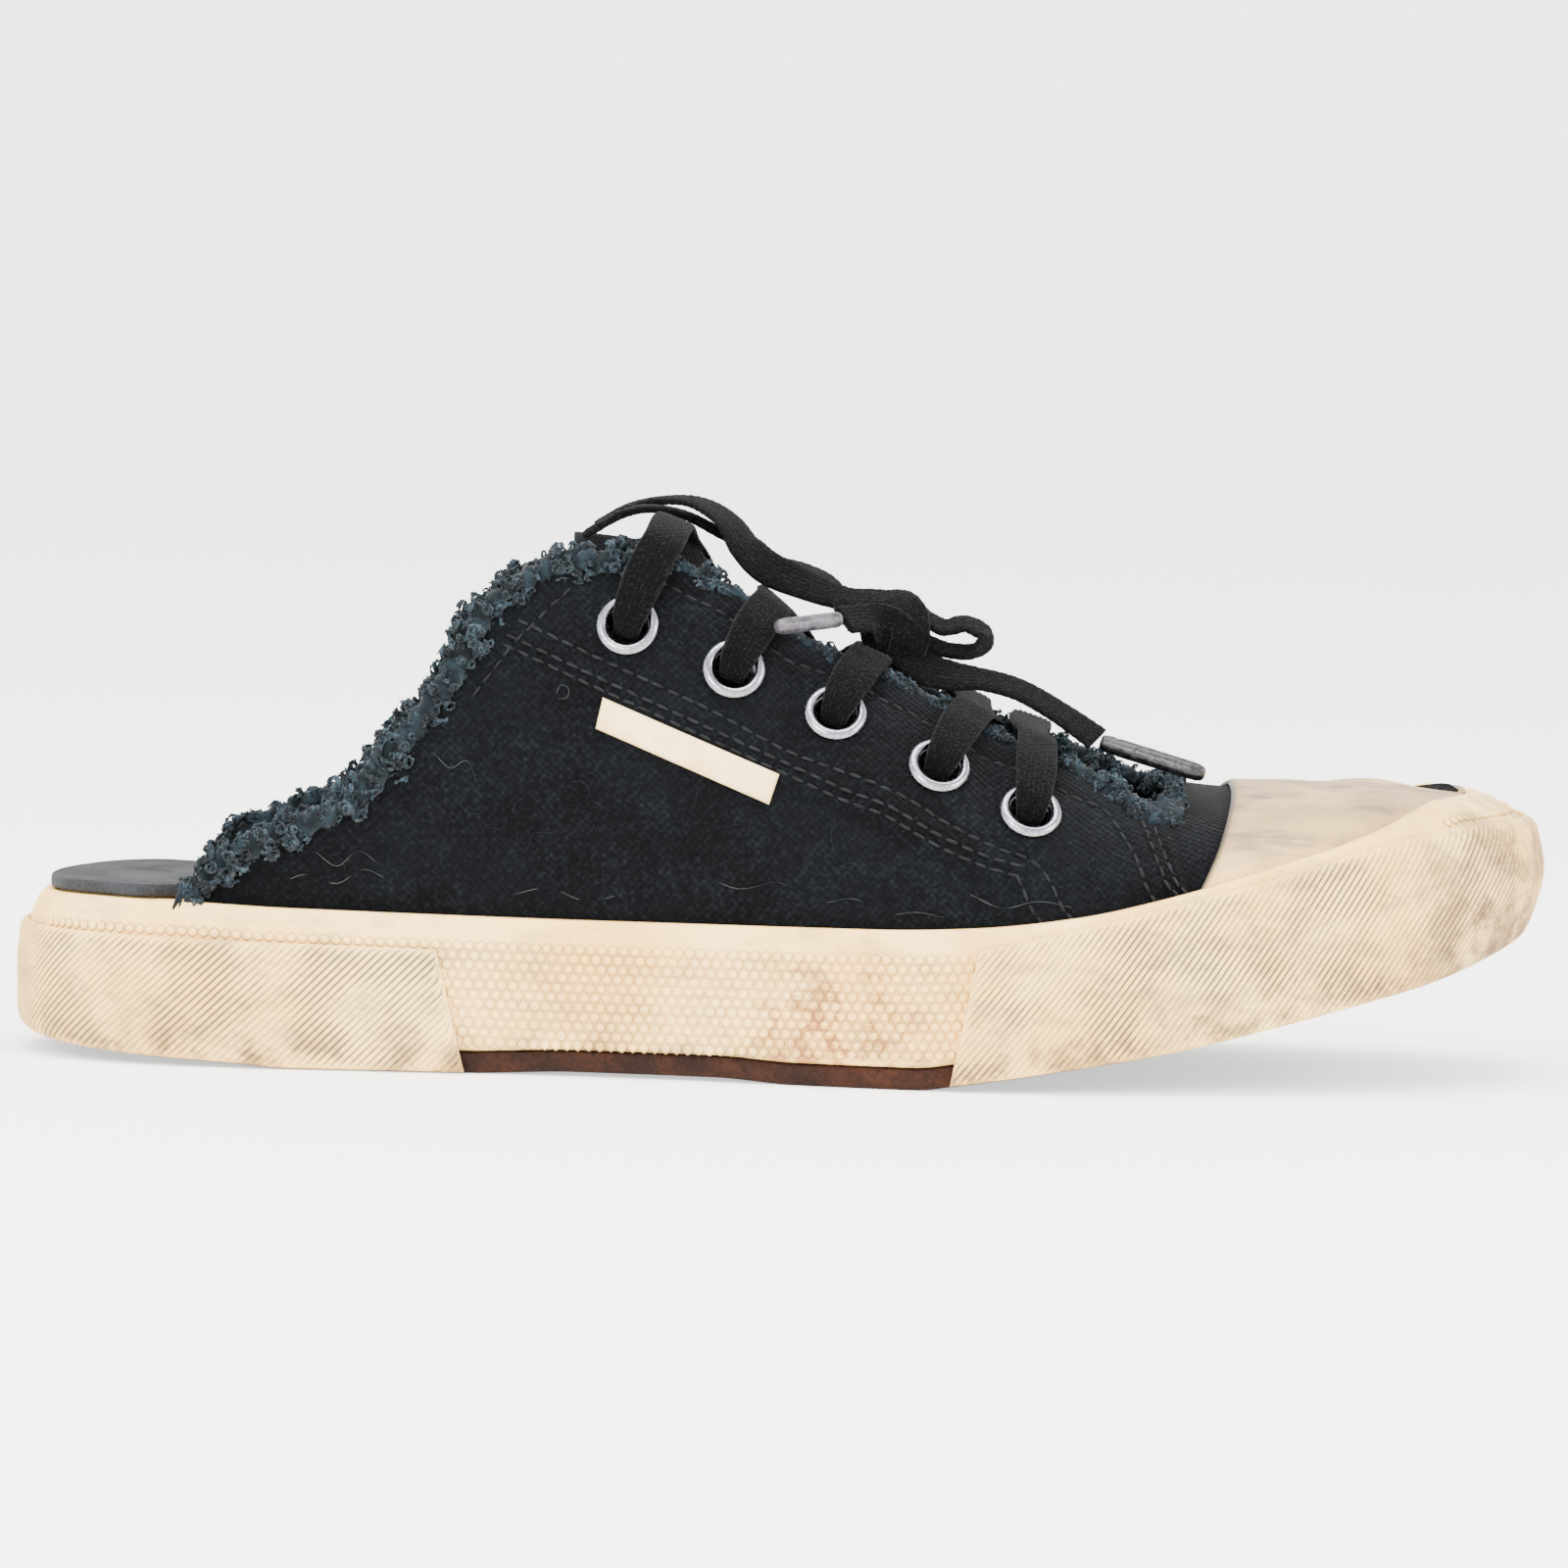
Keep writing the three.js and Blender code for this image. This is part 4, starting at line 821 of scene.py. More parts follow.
# ------------------------------------------------------------------ upper
# Two layers of black cotton canvas cut and sewn over the last: quarters, a broad eyelet panel that
# runs down to the sole, and the vamp. Open at collar and throat, the bottom tucked into the foxing.
TUCK = 7
PANEL_STEP = 0.55               # the eyelet panel stands this far over the quarters and vamp
crown = curve([[-120, 88], [-90, 99], [-60, 106], [-42, 107], [-31, 106.2], [-22, 104.2], [-11, 98.2],
               [3, 87.4], [20, 79.8], [32, 73.6], [43, 68.2], [54, 63.4], [64, 58.8], [76, 55.4], [86, 54.3],
               [95, 54.5], [114, 54.9], [123, 55.1], [129, 55.2], [140, 55.1]])
skew = curve([[-120, 0], [-31, 0], [20, 2], [50, 4], [80, 5], [110, 4], [140, 0]])
collar = curve([[-112, 31.0], [-107, 37.4], [-99.5, 42.4], [-92, 45.6], [-85, 48.8], [-79.5, 53.4],
                [-73.8, 60.8], [-68.8, 67], [-63.8, 74], [-60.6, 81.2], [-55.6, 87.8], [-48.6, 93.3],
                [-41.2, 97], [-31, 99.6], [-22, 104]])
throat_outer = curve([[-60, -20], [-31, -20.5], [-22, -20], [3, -20.5], [32, -22], [54, -23], [62, -25.5],
                      [68, -28.5], [71.5, -30.5], [73.6, -27], [75, -14], [75.6, 4]])
throat_inner = curve([[-60, 21], [-31, 21.5], [-22, 21], [3, 23], [32, 26], [54, 28.4], [61, 30],
                      [67.4, 32.6], [71, 35], [73.4, 32], [75, 20], [75.6, 4]])
# seams seen from the side: x, z
PANEL_FOOT = [[-62, 82.5], [-53.3, 79], [-37.6, 72.3], [-14, 62.5], [-0.6, 56.9], [11.5, 52], [18.8, 49.6],
              [28.2, 44.6], [38, 40.6], [43.6, 39.2]]
PANEL_BACK = [[43.6, 39.2], [45.6, 35], [48, 30]]
PANEL_FRONT = [[71.7, 51], [73.6, 46.6], [76, 41], [78, 36]]
SECOND_ROW = [[-50, 85], [-39.3, 80.4], [-31, 76.9], [-14.4, 69.9], [0.4, 62.6], [21.4, 55.4], [33, 49],
              [42, 45.2], [47, 43.6], [50, 41], [55, 31.5]]
FOLD_ROW = [[-24, 93], [-15, 89], [-8, 84.6], [0.3, 79.4], [19.1, 72.1], [34.2, 63.7], [46, 58.8], [54, 55.2],
            [62, 51.6], [66.4, 45.4], [70.6, 35]]
COLLAR_ROW = [[-58.5, 72], [-52.3, 80.2], [-46.6, 86.2], [-39.8, 92.4], [-33.4, 95.4]]
# creases: side (-1 outer, 1 inner, 0 both), x and z points, half width, depth inwards
CREASES = [(0, [[58, 36], [62, 44], [66, 52]], 3.2, 0.9),
           (0, [[49, 34], [55, 43], [58, 50]], 3.6, 0.7),
           (0, [[-20.5, 74], [-20, 84], [-18, 90]], 3.4, 0.8),
           (0, [[0, 66], [0.5, 74], [1, 79]], 3.2, 0.8),
           (0, [[20, 58], [20, 66], [20.5, 72]], 3.0, 0.7),
           (0, [[38.5, 50], [39, 57], [39.5, 62]], 3.0, 0.7),
           (-1, [[-95, 36], [-60, 38.5], [-20, 36], [20, 35]], 4.5, 0.7),
           (-1, [[-84, 42], [-70, 52], [-62, 66]], 6, -0.7),
           (1, [[-88, 40], [-50, 43], [0, 38]], 5, 0.8),
           (-1, [[-30, 60], [-5, 48], [25, 38]], 5, -0.5),
           (0, [[72, 44], [76, 50], [78, 55]], 3.4, 0.6),
           (-1, [[-44, 66], [-58, 60], [-74, 50]], 5, 0.55),
           (1, [[-30, 70], [-50, 60], [-75, 50]], 5.5, 0.6)]
EYELET_X = [-30.1, -9.8, 9.7, 29.5, 47.0]
EYELET_Z = [84.8, 77.1, 69.2, 59.9, 51.8]
WEAVE = 0.82                    # thread spacing, a little coarser than real so that it shows
CLOTH_TIP, CAP_TIP = 0.985, 0.9905      # where cloth and cap end, from heel 0 to toe 1
TOE_SINKS, CLOTH_SINKS = 2.2, 1.8       # mm the cap sinks at the toe, and the cloth's share of it


def low_z(x):
    return np.maximum(fox_top(x) - TUCK, floor_z(x) + 2 * GAP + 0.9 * smooth(-70, -104, x))


def foot_z(x):
    return np.maximum(fox_top(x), low_z(x) + 0.1)


def last_point(u, phi, off=0.0):
    """the last: u as for plan, phi -90 at the outer feather line to 90 at the inner one"""
    u, phi, off = np.broadcast_arrays(np.asarray(u, float), phi, off)
    a = plan(u, -1, feather_inset(plan(u, -1, 0 * u)[..., 0]) - off)
    b = plan(u, 1, feather_inset(plan(u, 1, 0 * u)[..., 0]) - off)
    x = (a[..., 0] + b[..., 0]) / 2
    foot = foot_z(x)
    top = np.maximum(crown(x), foot + 0.4) + off
    across = np.sign(phi) * np.sin(np.radians(np.abs(phi))) ** (2 / 2.4)
    rise = np.cos(np.radians(phi))
    half = (across + 1) / 2
    y = a[..., 1] * (1 - half) + b[..., 1] * half + skew(x) * rise * (1 - 0.3 * rise)
    return np.stack([a[..., 0] * (1 - half) + b[..., 0] * half, y, foot + (top - foot) * rise], -1)


u_table = np.linspace(0, 1, 3000)
x_table = np.maximum.accumulate(last_point(u_table, 0.0)[:, 0])


def u_at(x):
    return np.interp(x, x_table, u_table)


def phi_at(x, z, side):
    foot = foot_z(np.asarray(x, float))
    return side * np.degrees(np.arccos(np.clip((z - foot) / (crown(x) - foot), 0, 1)))


def phi_at_y(x, y):
    u = u_at(x)
    low, high = np.full(np.shape(u), -89.0), np.full(np.shape(u), 89.0)
    for _ in range(30):
        middle = (low + high) / 2
        less = last_point(u, middle)[..., 1] < y
        low, high = np.where(less, middle, low), np.where(less, high, middle)
    return (low + high) / 2


def on_last(x, phi, off=0.0):
    """point standing off the last along its normal, and that normal and the direction to the toe"""
    u, phi = np.broadcast_arrays(u_at(x), np.asarray(phi, float))
    along = unit(last_point(u + 0.003, phi) - last_point(u - 0.003, phi))
    across = unit(last_point(u, phi + 0.8) - last_point(u, phi - 0.8))
    normal = unit(np.cross(along, across))
    return last_point(u, phi) + normal * np.asarray(off, float)[..., None], normal, along


def edge_phi(x, side):
    """where the cloth ends: at the collar edge behind, at the throat edge in front"""
    x = np.asarray(x, float)
    throat = phi_at_y(np.clip(x, -60, 75.6), (throat_outer if side < 0 else throat_inner)(x))
    rim = phi_at(x, collar(x), side)
    return side * np.where(x < -22, np.maximum(np.abs(rim), side * throat), side * throat)


def to_line(x, z, line):
    """distance from points to a seam seen from the side"""
    line = np.asarray(line, float)
    best = np.full(np.shape(x), 1e9)
    for a, b in zip(line[:-1], line[1:]):
        d = b - a
        t = np.clip(((x - a[0]) * d[0] + (z - a[1]) * d[1]) / (d @ d), 0, 1)
        best = np.minimum(best, np.hypot(x - a[0] - t * d[0], z - a[1] - t * d[1]))
    return best


def cloth_lift(x, z, side):
    """how far the cloth stands off the last: eyelet panel, seams drawn in, creases"""
    panel_foot = np.interp(x, *np.array(PANEL_FOOT).T)
    back_x = np.interp(z, *np.array(PANEL_BACK)[::-1, ::-1].T)
    front_x = np.interp(z, *np.array(PANEL_FRONT)[::-1, ::-1].T)
    inside = np.where(x < 43.6, z > panel_foot, (x > back_x) & (x < front_x))
    inside |= (z > 39.2) & (x < front_x) & (z > panel_foot)
    border = np.minimum.reduce([to_line(x, z, line) for line in (PANEL_FOOT, PANEL_BACK, PANEL_FRONT)])
    signed = np.where(inside, border, -border)
    lift = PANEL_STEP * smooth(-0.7, 0.7, signed)
    for row in (PANEL_FOOT, PANEL_BACK, PANEL_FRONT):
        lift = lift - 0.3 * np.exp(-((to_line(x, z, row) - 1.6) / 0.7) ** 2)
    for row in (SECOND_ROW, FOLD_ROW, COLLAR_ROW):
        lift = lift - 0.34 * np.exp(-(to_line(x, z, row) / 0.8) ** 2)
    for where_side, line, wide, deep in CREASES:
        if where_side in (0, side):
            lift = lift - deep * np.exp(-(to_line(x, z, line) / wide) ** 2)
    for ex, ez in zip(EYELET_X, EYELET_Z):
        away = np.hypot(x - ex, z - ez)
        lift = lift - 0.3 * np.exp(-((away - 8.5) / 2.2) ** 2) + 0.12 * np.exp(-(away / 5) ** 2)
    return lift


def toe_drop(x, phi):
    """how far the forepart of the last has sunk towards the foxing rim"""
    return TOE_SINKS * smooth(112, 131, x) * np.sqrt(np.clip(np.cos(np.radians(phi)), 0, 1))


def washed_canvas(name, teal):
    """Plain-weave cotton dyed black and washed out: matt, blue-black, with a painted highlight on the
    thread crowns, dusty patches and a cast of teal where it is worn; lint lies on it."""
    material, tree, where = start_finish(name)
    weave = add(tree, "ShaderNodeAttribute", attribute_name="weave").outputs["Vector"]
    uneven = add(tree, "ShaderNodeTexNoise", {"Vector": where, "Scale": 1 / (9 * MM), "Detail": 2.0})
    thread = add(tree, "ShaderNodeSeparateXYZ", {0: weave})
    waves = []
    for axis in ("X", "Y"):
        shifted = times(tree, thread.outputs[axis], times(tree, uneven.outputs["Fac"], 0.6), operation="ADD")
        run = times(tree, shifted, math.pi / WEAVE)
        waves.append(add(tree, "ShaderNodeMath", {0: run}, operation="SINE").outputs[0])
    crowns = add(tree, "ShaderNodeMapRange", {"Value": times(tree, *waves), "From Min": -1.0, "From Max": 1.0}
                 ).outputs["Result"]
    slub = cloud(tree, where, 1.1, detail=4, low=0.38, high=0.7)
    patch = cloud(tree, where, 12, detail=6, low=0.42, high=0.68, rough=0.65)
    fade = cloud(tree, where, 34, detail=3, low=0.42, high=0.62)
    colour = tint(tree, fade, "#030304", "#050608")
    colour = tint(tree, times(tree, patch, 0.6), colour, teal)
    # painted highlight: the crowns of the weave are lightened, more on the worn patches
    crown_highlight = times(tree, crowns, slub, times(tree, times(tree, patch, 0.45), 0.4, operation="ADD"))
    colour = tint(tree, crown_highlight, colour, "#171b1f")
    height = times(tree, times(tree, crowns, 0.7), times(tree, slub, 0.3), operation="ADD")
    close_finish(tree, Base_Color=colour, Roughness=0.95, Specular_IOR_Level=0.05, Sheen_Weight=0.02,
                 Sheen_Roughness=0.6, Normal=relief(tree, height, 0.22))
    return material


canvas = washed_canvas("washed_black_canvas", "#06080b")


def cloth_side(side):
    """one side of the upper from its tucked bottom edge to collar, throat or middle line"""
    x = np.concatenate([np.linspace(-111.8, -60, 60), np.linspace(-59, 72, 134), np.linspace(72.5, 75.6, 24),
                        np.linspace(76.4, 138, 50)])
    u = np.minimum(u_at(x), CLOTH_TIP)
    up_share = np.concatenate([[0.0], np.linspace(0, 1, 62) ** 0.92])
    edge = edge_phi(np.minimum(x, 75.6), side)
    edge = np.where(x > 75.6, phi_at_y(np.minimum(x, 130), 4.0 - 4 * smooth(90, 130, x)), edge)
    phi = side * 90 + (edge - side * 90)[:, None] * up_share[None]
    xs = np.minimum(x, 139)[:, None] * np.ones(phi.shape)
    bare = last_point(u[:, None], phi)
    lift = cloth_lift(bare[..., 0], bare[..., 2], side)
    lift = lift * smooth(side * 90, side * 78, phi) if side > 0 else lift * smooth(-90, -78, phi)
    lift = lift * smooth(131, 122, bare[..., 0]) * (1 - cap_zone(bare[..., 0] - 6))
    points, _, _ = on_last(xs, phi, lift)
    points[..., 2] -= toe_drop(points[..., 0], phi) * CLOTH_SINKS
    tucked = last_point(u, side * 90.0)
    tucked[:, 2] = low_z(x)
    points[:, 0] = tucked
    stride = np.linalg.norm(np.diff(points, axis=1), axis=2)
    around = np.concatenate([np.zeros((len(x), 1)), np.cumsum(stride, axis=1)], 1)
    weave = np.stack([points[..., 0] + 0.12 * points[..., 2], around, 0 * around], -1)
    faces = quads(len(x), points.shape[1])
    if side > 0:
        faces = [face[::-1] for face in faces]
    return points.reshape(-1, 3), faces, {"weave": weave.reshape(-1, 3)}


def settle(made):
    """bakes the modifiers of a piece into its mesh"""
    depsgraph = bpy.context.evaluated_depsgraph_get()
    mesh = bpy.data.meshes.new_from_object(made.evaluated_get(depsgraph))
    made.modifiers.clear()
    made.data = mesh
    return made


def cloth(name, parts, wall, finish, holes=(), weld=0.05):
    """sheets welded where they meet, pierced at the eyelets and given a wall inwards"""
    points, faces, marks = shape(parts)
    made = piece(name, points, faces, finish, marks)
    work = bmesh.new()
    work.from_mesh(made.data)
    bmesh.ops.remove_doubles(work, verts=work.verts, dist=weld * MM)
    pierced = [face for face in work.faces
               if any((face.calc_center_median() - hole).length < reach for hole, reach in holes)]
    bmesh.ops.delete(work, geom=pierced, context="FACES")
    work.to_mesh(made.data)
    work.free()
    made.data.shade_smooth()
    solid = made.modifiers.new("wall", "SOLIDIFY")
    solid.thickness = wall * MM
    solid.offset = -1
    return settle(made)


def eyelet_place(k, side):
    return on_last(EYELET_X[k], phi_at(EYELET_X[k], EYELET_Z[k], side))


holes = [(Vector((eyelet_place(k, side)[0] + SHIFT) * MM), 4.3 * MM) for k in range(5) for side in (-1, 1)]
upper = cloth("canvas_upper", [cloth_side(-1), cloth_side(1)], CANVAS, canvas, holes)
finish_piece(upper, "canvas", "upper")

# ------------------------------------------------------------------ stitching
# Waxed black thread in lock stitch along every seam of the upper, each stitch sunk a little in the
# cloth between its two holes.
STITCH_LONG, STITCH_GAP, THREAD = 2.3, 0.9, 0.3


def stitch():
    """one stitch: a low rounded bar along x"""
    reach = STITCH_LONG / 2
    centre = [[-reach, 0, -0.12], [-reach * 0.8, 0, 0.05], [0, 0, 0.13], [reach * 0.8, 0, 0.05],
              [reach, 0, -0.12]]
    return tube(centre, [0.12, THREAD, THREAD * 1.1, THREAD, 0.12], 6)[:2]


def seam_line(line, side, step, off):
    """points every step mm along a seam on the cloth"""
    line = np.asarray(line, float)
    fine = through_points(np.column_stack([line, 0 * line[:, 0]]), 20)[:, :2]
    x, z = fine.T
    point = on_last(x, phi_at(x, z, side), cloth_lift(x, z, side) + off)
    places, values, _ = even(point[0], point[1], step)
    return places, unit(values), unit(np.gradient(places, axis=0))


def waxed_thread():
    """Waxed polyester thread, black gone slightly blue, a little glossier than the cloth."""
    material, tree, where = start_finish("waxed_thread")
    close_finish(tree, Base_Color=tint(tree, cloud(tree, where, 3), "#060708", "#121417"), Roughness=0.7,
                 Specular_IOR_Level=0.2)
    return material


def shifted(line, across):
    """a seam moved sideways in the side view"""
    line = np.asarray(line, float)
    forward = unit(np.gradient(line, axis=0))
    return line + np.column_stack([-forward[:, 1], forward[:, 0]]) * across


rows = [seam_line(line, side, STITCH_LONG + STITCH_GAP, 0.1) for side in (-1, 1) for line in (
    shifted(PANEL_FOOT[1:], 1.6), shifted(PANEL_FOOT[1:], 3.4), shifted(PANEL_BACK, 1.6),
    shifted(PANEL_FRONT, -1.6), shifted(PANEL_FRONT, -3.4), SECOND_ROW, FOLD_ROW, COLLAR_ROW)]
points, out, forward = (np.vstack(rows_of) for rows_of in zip(*rows))
stitches = set_shapes("seam_stitches", points, out, forward, stitch(), waxed_thread(),
                      turn_spread=0.08, seed=4)
finish_piece(stitches, "canvas")

# ------------------------------------------------------------------ toe cap
# A thin cap of cream rubberised cloth bonded over the vamp, its rear edge cut slanting and its
# front running down behind the foxing.
CAP, CAP_AIR = 0.95, 0.42
CAP_REAR = [[34, 77.2], [38.4, 79.0], [46, 82.4], [55.4, 86.1], [60, 87.2]]     # z, x of the rear edge


def cap_rubber():
    """Thin rubber skin on cloth: cream below, grey and scuffed on top where shoes crease and rub."""
    material, tree, where = start_finish("cap_rubber")
    height = add(tree, "ShaderNodeSeparateXYZ", {0: where}).outputs["Z"]
    top = add(tree, "ShaderNodeMapRange", {"Value": height, "From Min": 0.036, "From Max": 0.0545},
              interpolation_type="SMOOTHSTEP").outputs["Result"]
    colour = tint(tree, top, "#e9bd78", "#a08358")
    smear = add(tree, "ShaderNodeMapping", {"Vector": where, "Scale": (0.45, 1.0, 1.3)}).outputs[0]
    trodden = times(tree, top, 0.55, operation="ADD")
    grey = times(tree, cloud(tree, smear, 7, detail=7, low=0.44, high=0.68, rough=0.62), trodden, 0.62)
    colour = tint(tree, grey, colour, "#6f5e4a")
    tan = times(tree, cloud(tree, where, 12, detail=4, low=0.5, high=0.66), 0.5)
    colour = tint(tree, tan, colour, "#cfa768")
    specks = cloud(tree, where, 0.9, detail=2, low=0.66, high=0.74)
    colour = tint(tree, times(tree, specks, 0.5), colour, "#7d6f5f")
    edge = add(tree, "ShaderNodeAttribute", attribute_name="edge").outputs["Fac"]
    colour = tint(tree, edge, colour, "#2f2a25")
    skin = cloud(tree, smear, 2.2, detail=6)
    close_finish(tree, Base_Color=colour, Roughness=0.6, IOR=1.5, Normal=relief(tree, skin, 0.1))
    return material


def cap_sheet():
    # rows run from the outer foot over the top to the inner foot, columns from the rear edge to the tip
    phi = np.linspace(-90, 90, 121)
    share = np.concatenate([[0, 0.006, 0.014], np.linspace(0.03, 1, 90)])
    z = last_point(u_at(np.full(phi.shape, 82.0)), phi)[:, 2]
    rear = np.interp(z, *np.array(CAP_REAR).T)
    for _ in range(4):
        z = on_last(rear, phi, 0 * phi + CAP + CAP_AIR)[0][:, 2]
        rear = np.interp(z, *np.array(CAP_REAR).T)
    u0 = u_at(rear)
    u = u0[None] + (CAP_TIP - u0)[None] * share[:, None]
    x = np.interp(u, u_table, x_table)
    top = last_point(u, 0 * u + phi[None])
    dip = -0.5 * np.exp(-((top[..., 0] - 103) / 6) ** 2) * smooth(40, 52, top[..., 2])
    dent = -0.5 * np.exp(-(((top[..., 0] - 118) / 9) ** 2 + ((top[..., 1] + 6) / 8) ** 2))
    wave = 0.12 * np.sin(top[..., 0] * 0.42 + top[..., 1] * 0.2) * smooth(44, 53, top[..., 2])
    thin = 1 - 0.45 * smooth(0.012, 0, share)
    dented = (dip + dent + wave) * smooth(0, 0.1, share)[:, None] * smooth(1, 0.85, share)[:, None]
    off = (CAP + CAP_AIR) * thin[:, None] + dented
    middle = last_point(u, 0 * u + phi[None], off)
    middle[..., 2] -= toe_drop(middle[..., 0], phi[None])
    skirt = middle[:, [0, -1]].copy()
    skirt[..., 2] = low_z(x)[:, [0, -1]] + 3
    points = np.concatenate([skirt[:, :1], middle, skirt[:, 1:]], 1)
    edge = np.exp(-(share / 0.012) ** 2)[:, None] * np.ones(points.shape[:2])
    return points.reshape(-1, 3), quads(*points.shape[:2]), {"edge": edge.ravel()}


toe_cap = cloth("cap_skin", [cap_sheet()], CAP, cap_rubber())
finish_piece(toe_cap, "cap_rubber", "toe_cap")

# ------------------------------------------------------------------ tongue
# A flat tongue of the same canvas sewn in at the front of the throat, under the lace.
TONGUE, TONGUE_DROP = 2.2, 5.6


def tongue_sheet():
    x = np.linspace(-41, 84, 130)
    half = 26 + 9 * (x + 41) / 125
    middle = skew(x) * 0.7
    low, high = phi_at_y(x, middle - half), phi_at_y(x, middle + half)
    share = np.linspace(0, 1, 64)
    phi = low[:, None] + (high - low)[:, None] * share
    ripple = 0.5 * np.sin(x / 6.5)[:, None] * np.exp(-((share - 0.35) / 0.2) ** 2)
    fold = -0.9 * np.exp(-((share - 0.62) / 0.05) ** 2) * smooth(50, -20, x)[:, None]
    points, _, _ = on_last(x[:, None] * np.ones(phi.shape), phi, -TONGUE_DROP + np.minimum(ripple + fold, 0))
    around = share[None] * (2 * half)[:, None]
    weave = np.stack([points[..., 0], around, 0 * around], -1)
    return points.reshape(-1, 3), quads(*phi.shape), {"weave": weave.reshape(-1, 3)}


tongue = cloth("canvas_tongue", [tongue_sheet()], TONGUE, washed_canvas("tongue_canvas", "#0a1014"))
finish_piece(tongue, "canvas", "tongue")

# ------------------------------------------------------------------ side tab
# A plain cream rubber tab glued along the panel seam, its long edges rounded and one end clipped
# round. It is left bare.
TAB_TOP, TAB_LOW = [[-34.4, 71.4], [-0.6, 58.0]], [[-35.6, 65.6], [-2.4, 52.4]]
TAB_BACK, TAB_FACE = 0.45, 1.75


def tab_rubber():
    """Moulded rubber tab: clean, warm cream, satin, faintly mottled."""
    material, tree, where = start_finish("tab_rubber")
    mottled = cloud(tree, where, 6, detail=4)
    mark = times(tree, cloud(tree, where, 3, detail=5, low=0.55, high=0.7), 0.35)
    colour = tint(tree, mark, tint(tree, mottled, "#f7d9a0", "#eecb8c"), "#c9a56c")
    close_finish(tree, Base_Color=colour, Roughness=0.5, IOR=1.5, Normal=relief(tree, mottled, 0.05))
    return material


def tab_block():
    t = np.concatenate([[0, 0.004, 0.012, 0.024], np.linspace(0.04, 0.96, 46), [0.976, 0.988, 0.996, 1]])
    v = np.array([0, 0.02, 0.07, 0.16, 0.3, 0.5, 0.7, 0.84, 0.93, 0.98, 1.0])
    top = np.array(TAB_TOP[0]) * (1 - t[:, None]) + np.array(TAB_TOP[1]) * t[:, None]
    low = np.array(TAB_LOW[0]) * (1 - t[:, None]) + np.array(TAB_LOW[1]) * t[:, None]
    flat = low[:, None] * (1 - v[:, None]) + top[:, None] * v[:, None]
    from_edge = np.minimum(np.minimum(v, 1 - v)[None] * 6.2, np.minimum(t, 1 - t)[:, None] * 36)
    dome = np.sqrt(1 - (1 - np.clip(from_edge / 0.9, 0, 1)) ** 2)
    face = TAB_BACK + 0.35 + (TAB_FACE - TAB_BACK - 0.35) * dome
    phi = phi_at(flat[..., 0], flat[..., 1], -1)
    front = on_last(flat[..., 0], phi, face)[0]
    behind = on_last(flat[..., 0], phi, 0 * face + TAB_BACK)[0]
    points = np.concatenate([front, behind[:, ::-1]], 1)
    n = points.shape[1]
    faces = quads(len(t), n, wrap=True)
    for start in (0, (len(t) - 1) * n):
        faces += [[start + k, start + k + 1, start + n - 2 - k, start + n - 1 - k] for k in range(n // 2 - 1)]
    return points.reshape(-1, 3), faces


finish_piece(piece("side_tab", *tab_block(), tab_rubber(), tidy=True), "tab_rubber", "label_tab")

# ------------------------------------------------------------------ eyelets
# Ten rolled nickel-plated eyelets, pressed through the panel and clinched: a bright round rim and a
# short barrel that the lace comes up through.
EYELET_RIM, EYELET_BORE = 6.0, 3.6


def nickel_plate():
    """Nickel-plated brass: bright, slightly warm, softly scratched."""
    material, tree, where = start_finish("nickel_plate")
    rub = cloud(tree, where, 0.7, detail=6, low=0.4, high=0.7)
    rough = add(tree, "ShaderNodeMapRange", {"Value": rub, "To Min": 0.16, "To Max": 0.3}).outputs["Result"]
    close_finish(tree, Base_Color=tint(tree, rub, "#8f9197", "#6f7177"), Metallic=1.0, Roughness=rough)
    return material


def eyelet_part(k, side):
    roll = np.radians(np.linspace(200, -20, 14))
    middle, wide, tall = (EYELET_RIM + EYELET_BORE) / 2 + 0.12, (EYELET_RIM - EYELET_BORE) / 2, 1.2
    profile = [[EYELET_BORE, -2.6], [EYELET_BORE, -0.6], [EYELET_BORE + 0.02, 0.2]]
    profile += [[middle + wide * math.cos(a), 0.62 + tall * max(math.sin(a), -0.1)] for a in roll]
    profile += [[5.4, 0.42], [4.3, 0.4], [4.1, -0.4], [4.1, -2.6]]
    profile = np.array(profile)
    spin = np.linspace(0, 2 * np.pi, 40, endpoint=False)
    place, normal, along = eyelet_place(k, side)
    other = np.cross(normal, along)
    ring_at = along * np.cos(spin)[:, None] + other * np.sin(spin)[:, None]
    points = place + ring_at[:, None] * profile[:, :1] + normal * profile[:, 1:]
    n = len(profile)
    wrapped = quads(len(spin) + 1, n, wrap=True)
    faces = [[i % (len(spin) * n) for i in face] for face in wrapped]
    return points.reshape(-1, 3), faces, {}


nickel = nickel_plate()
for side, word in ((-1, "outer"), (1, "inner")):
    points, faces, _ = shape([eyelet_part(k, side) for k in range(5)])
    finish_piece(piece(f"eyelets_{word}", points, faces, nickel, tidy=True), "eyelet_metal",
                 *[f"eyelet_{word}_{k + 1}" for k in range(5)])

# ------------------------------------------------------------------ laced crossings
# The laced part: a straight bar at the front pair, then four crossings. Each run comes from under
# one throat edge, over the other edge and down through the next eyelet from outside.
SLACK, REST = 3.0, -TONGUE_DROP + GAP + LACE_THICK / 2 + 0.25


def throat_edge(x, side):
    return (throat_outer if side < 0 else throat_inner)(np.asarray(x, float))


def guide(place, face, wide):
    return [*place, *face, wide]


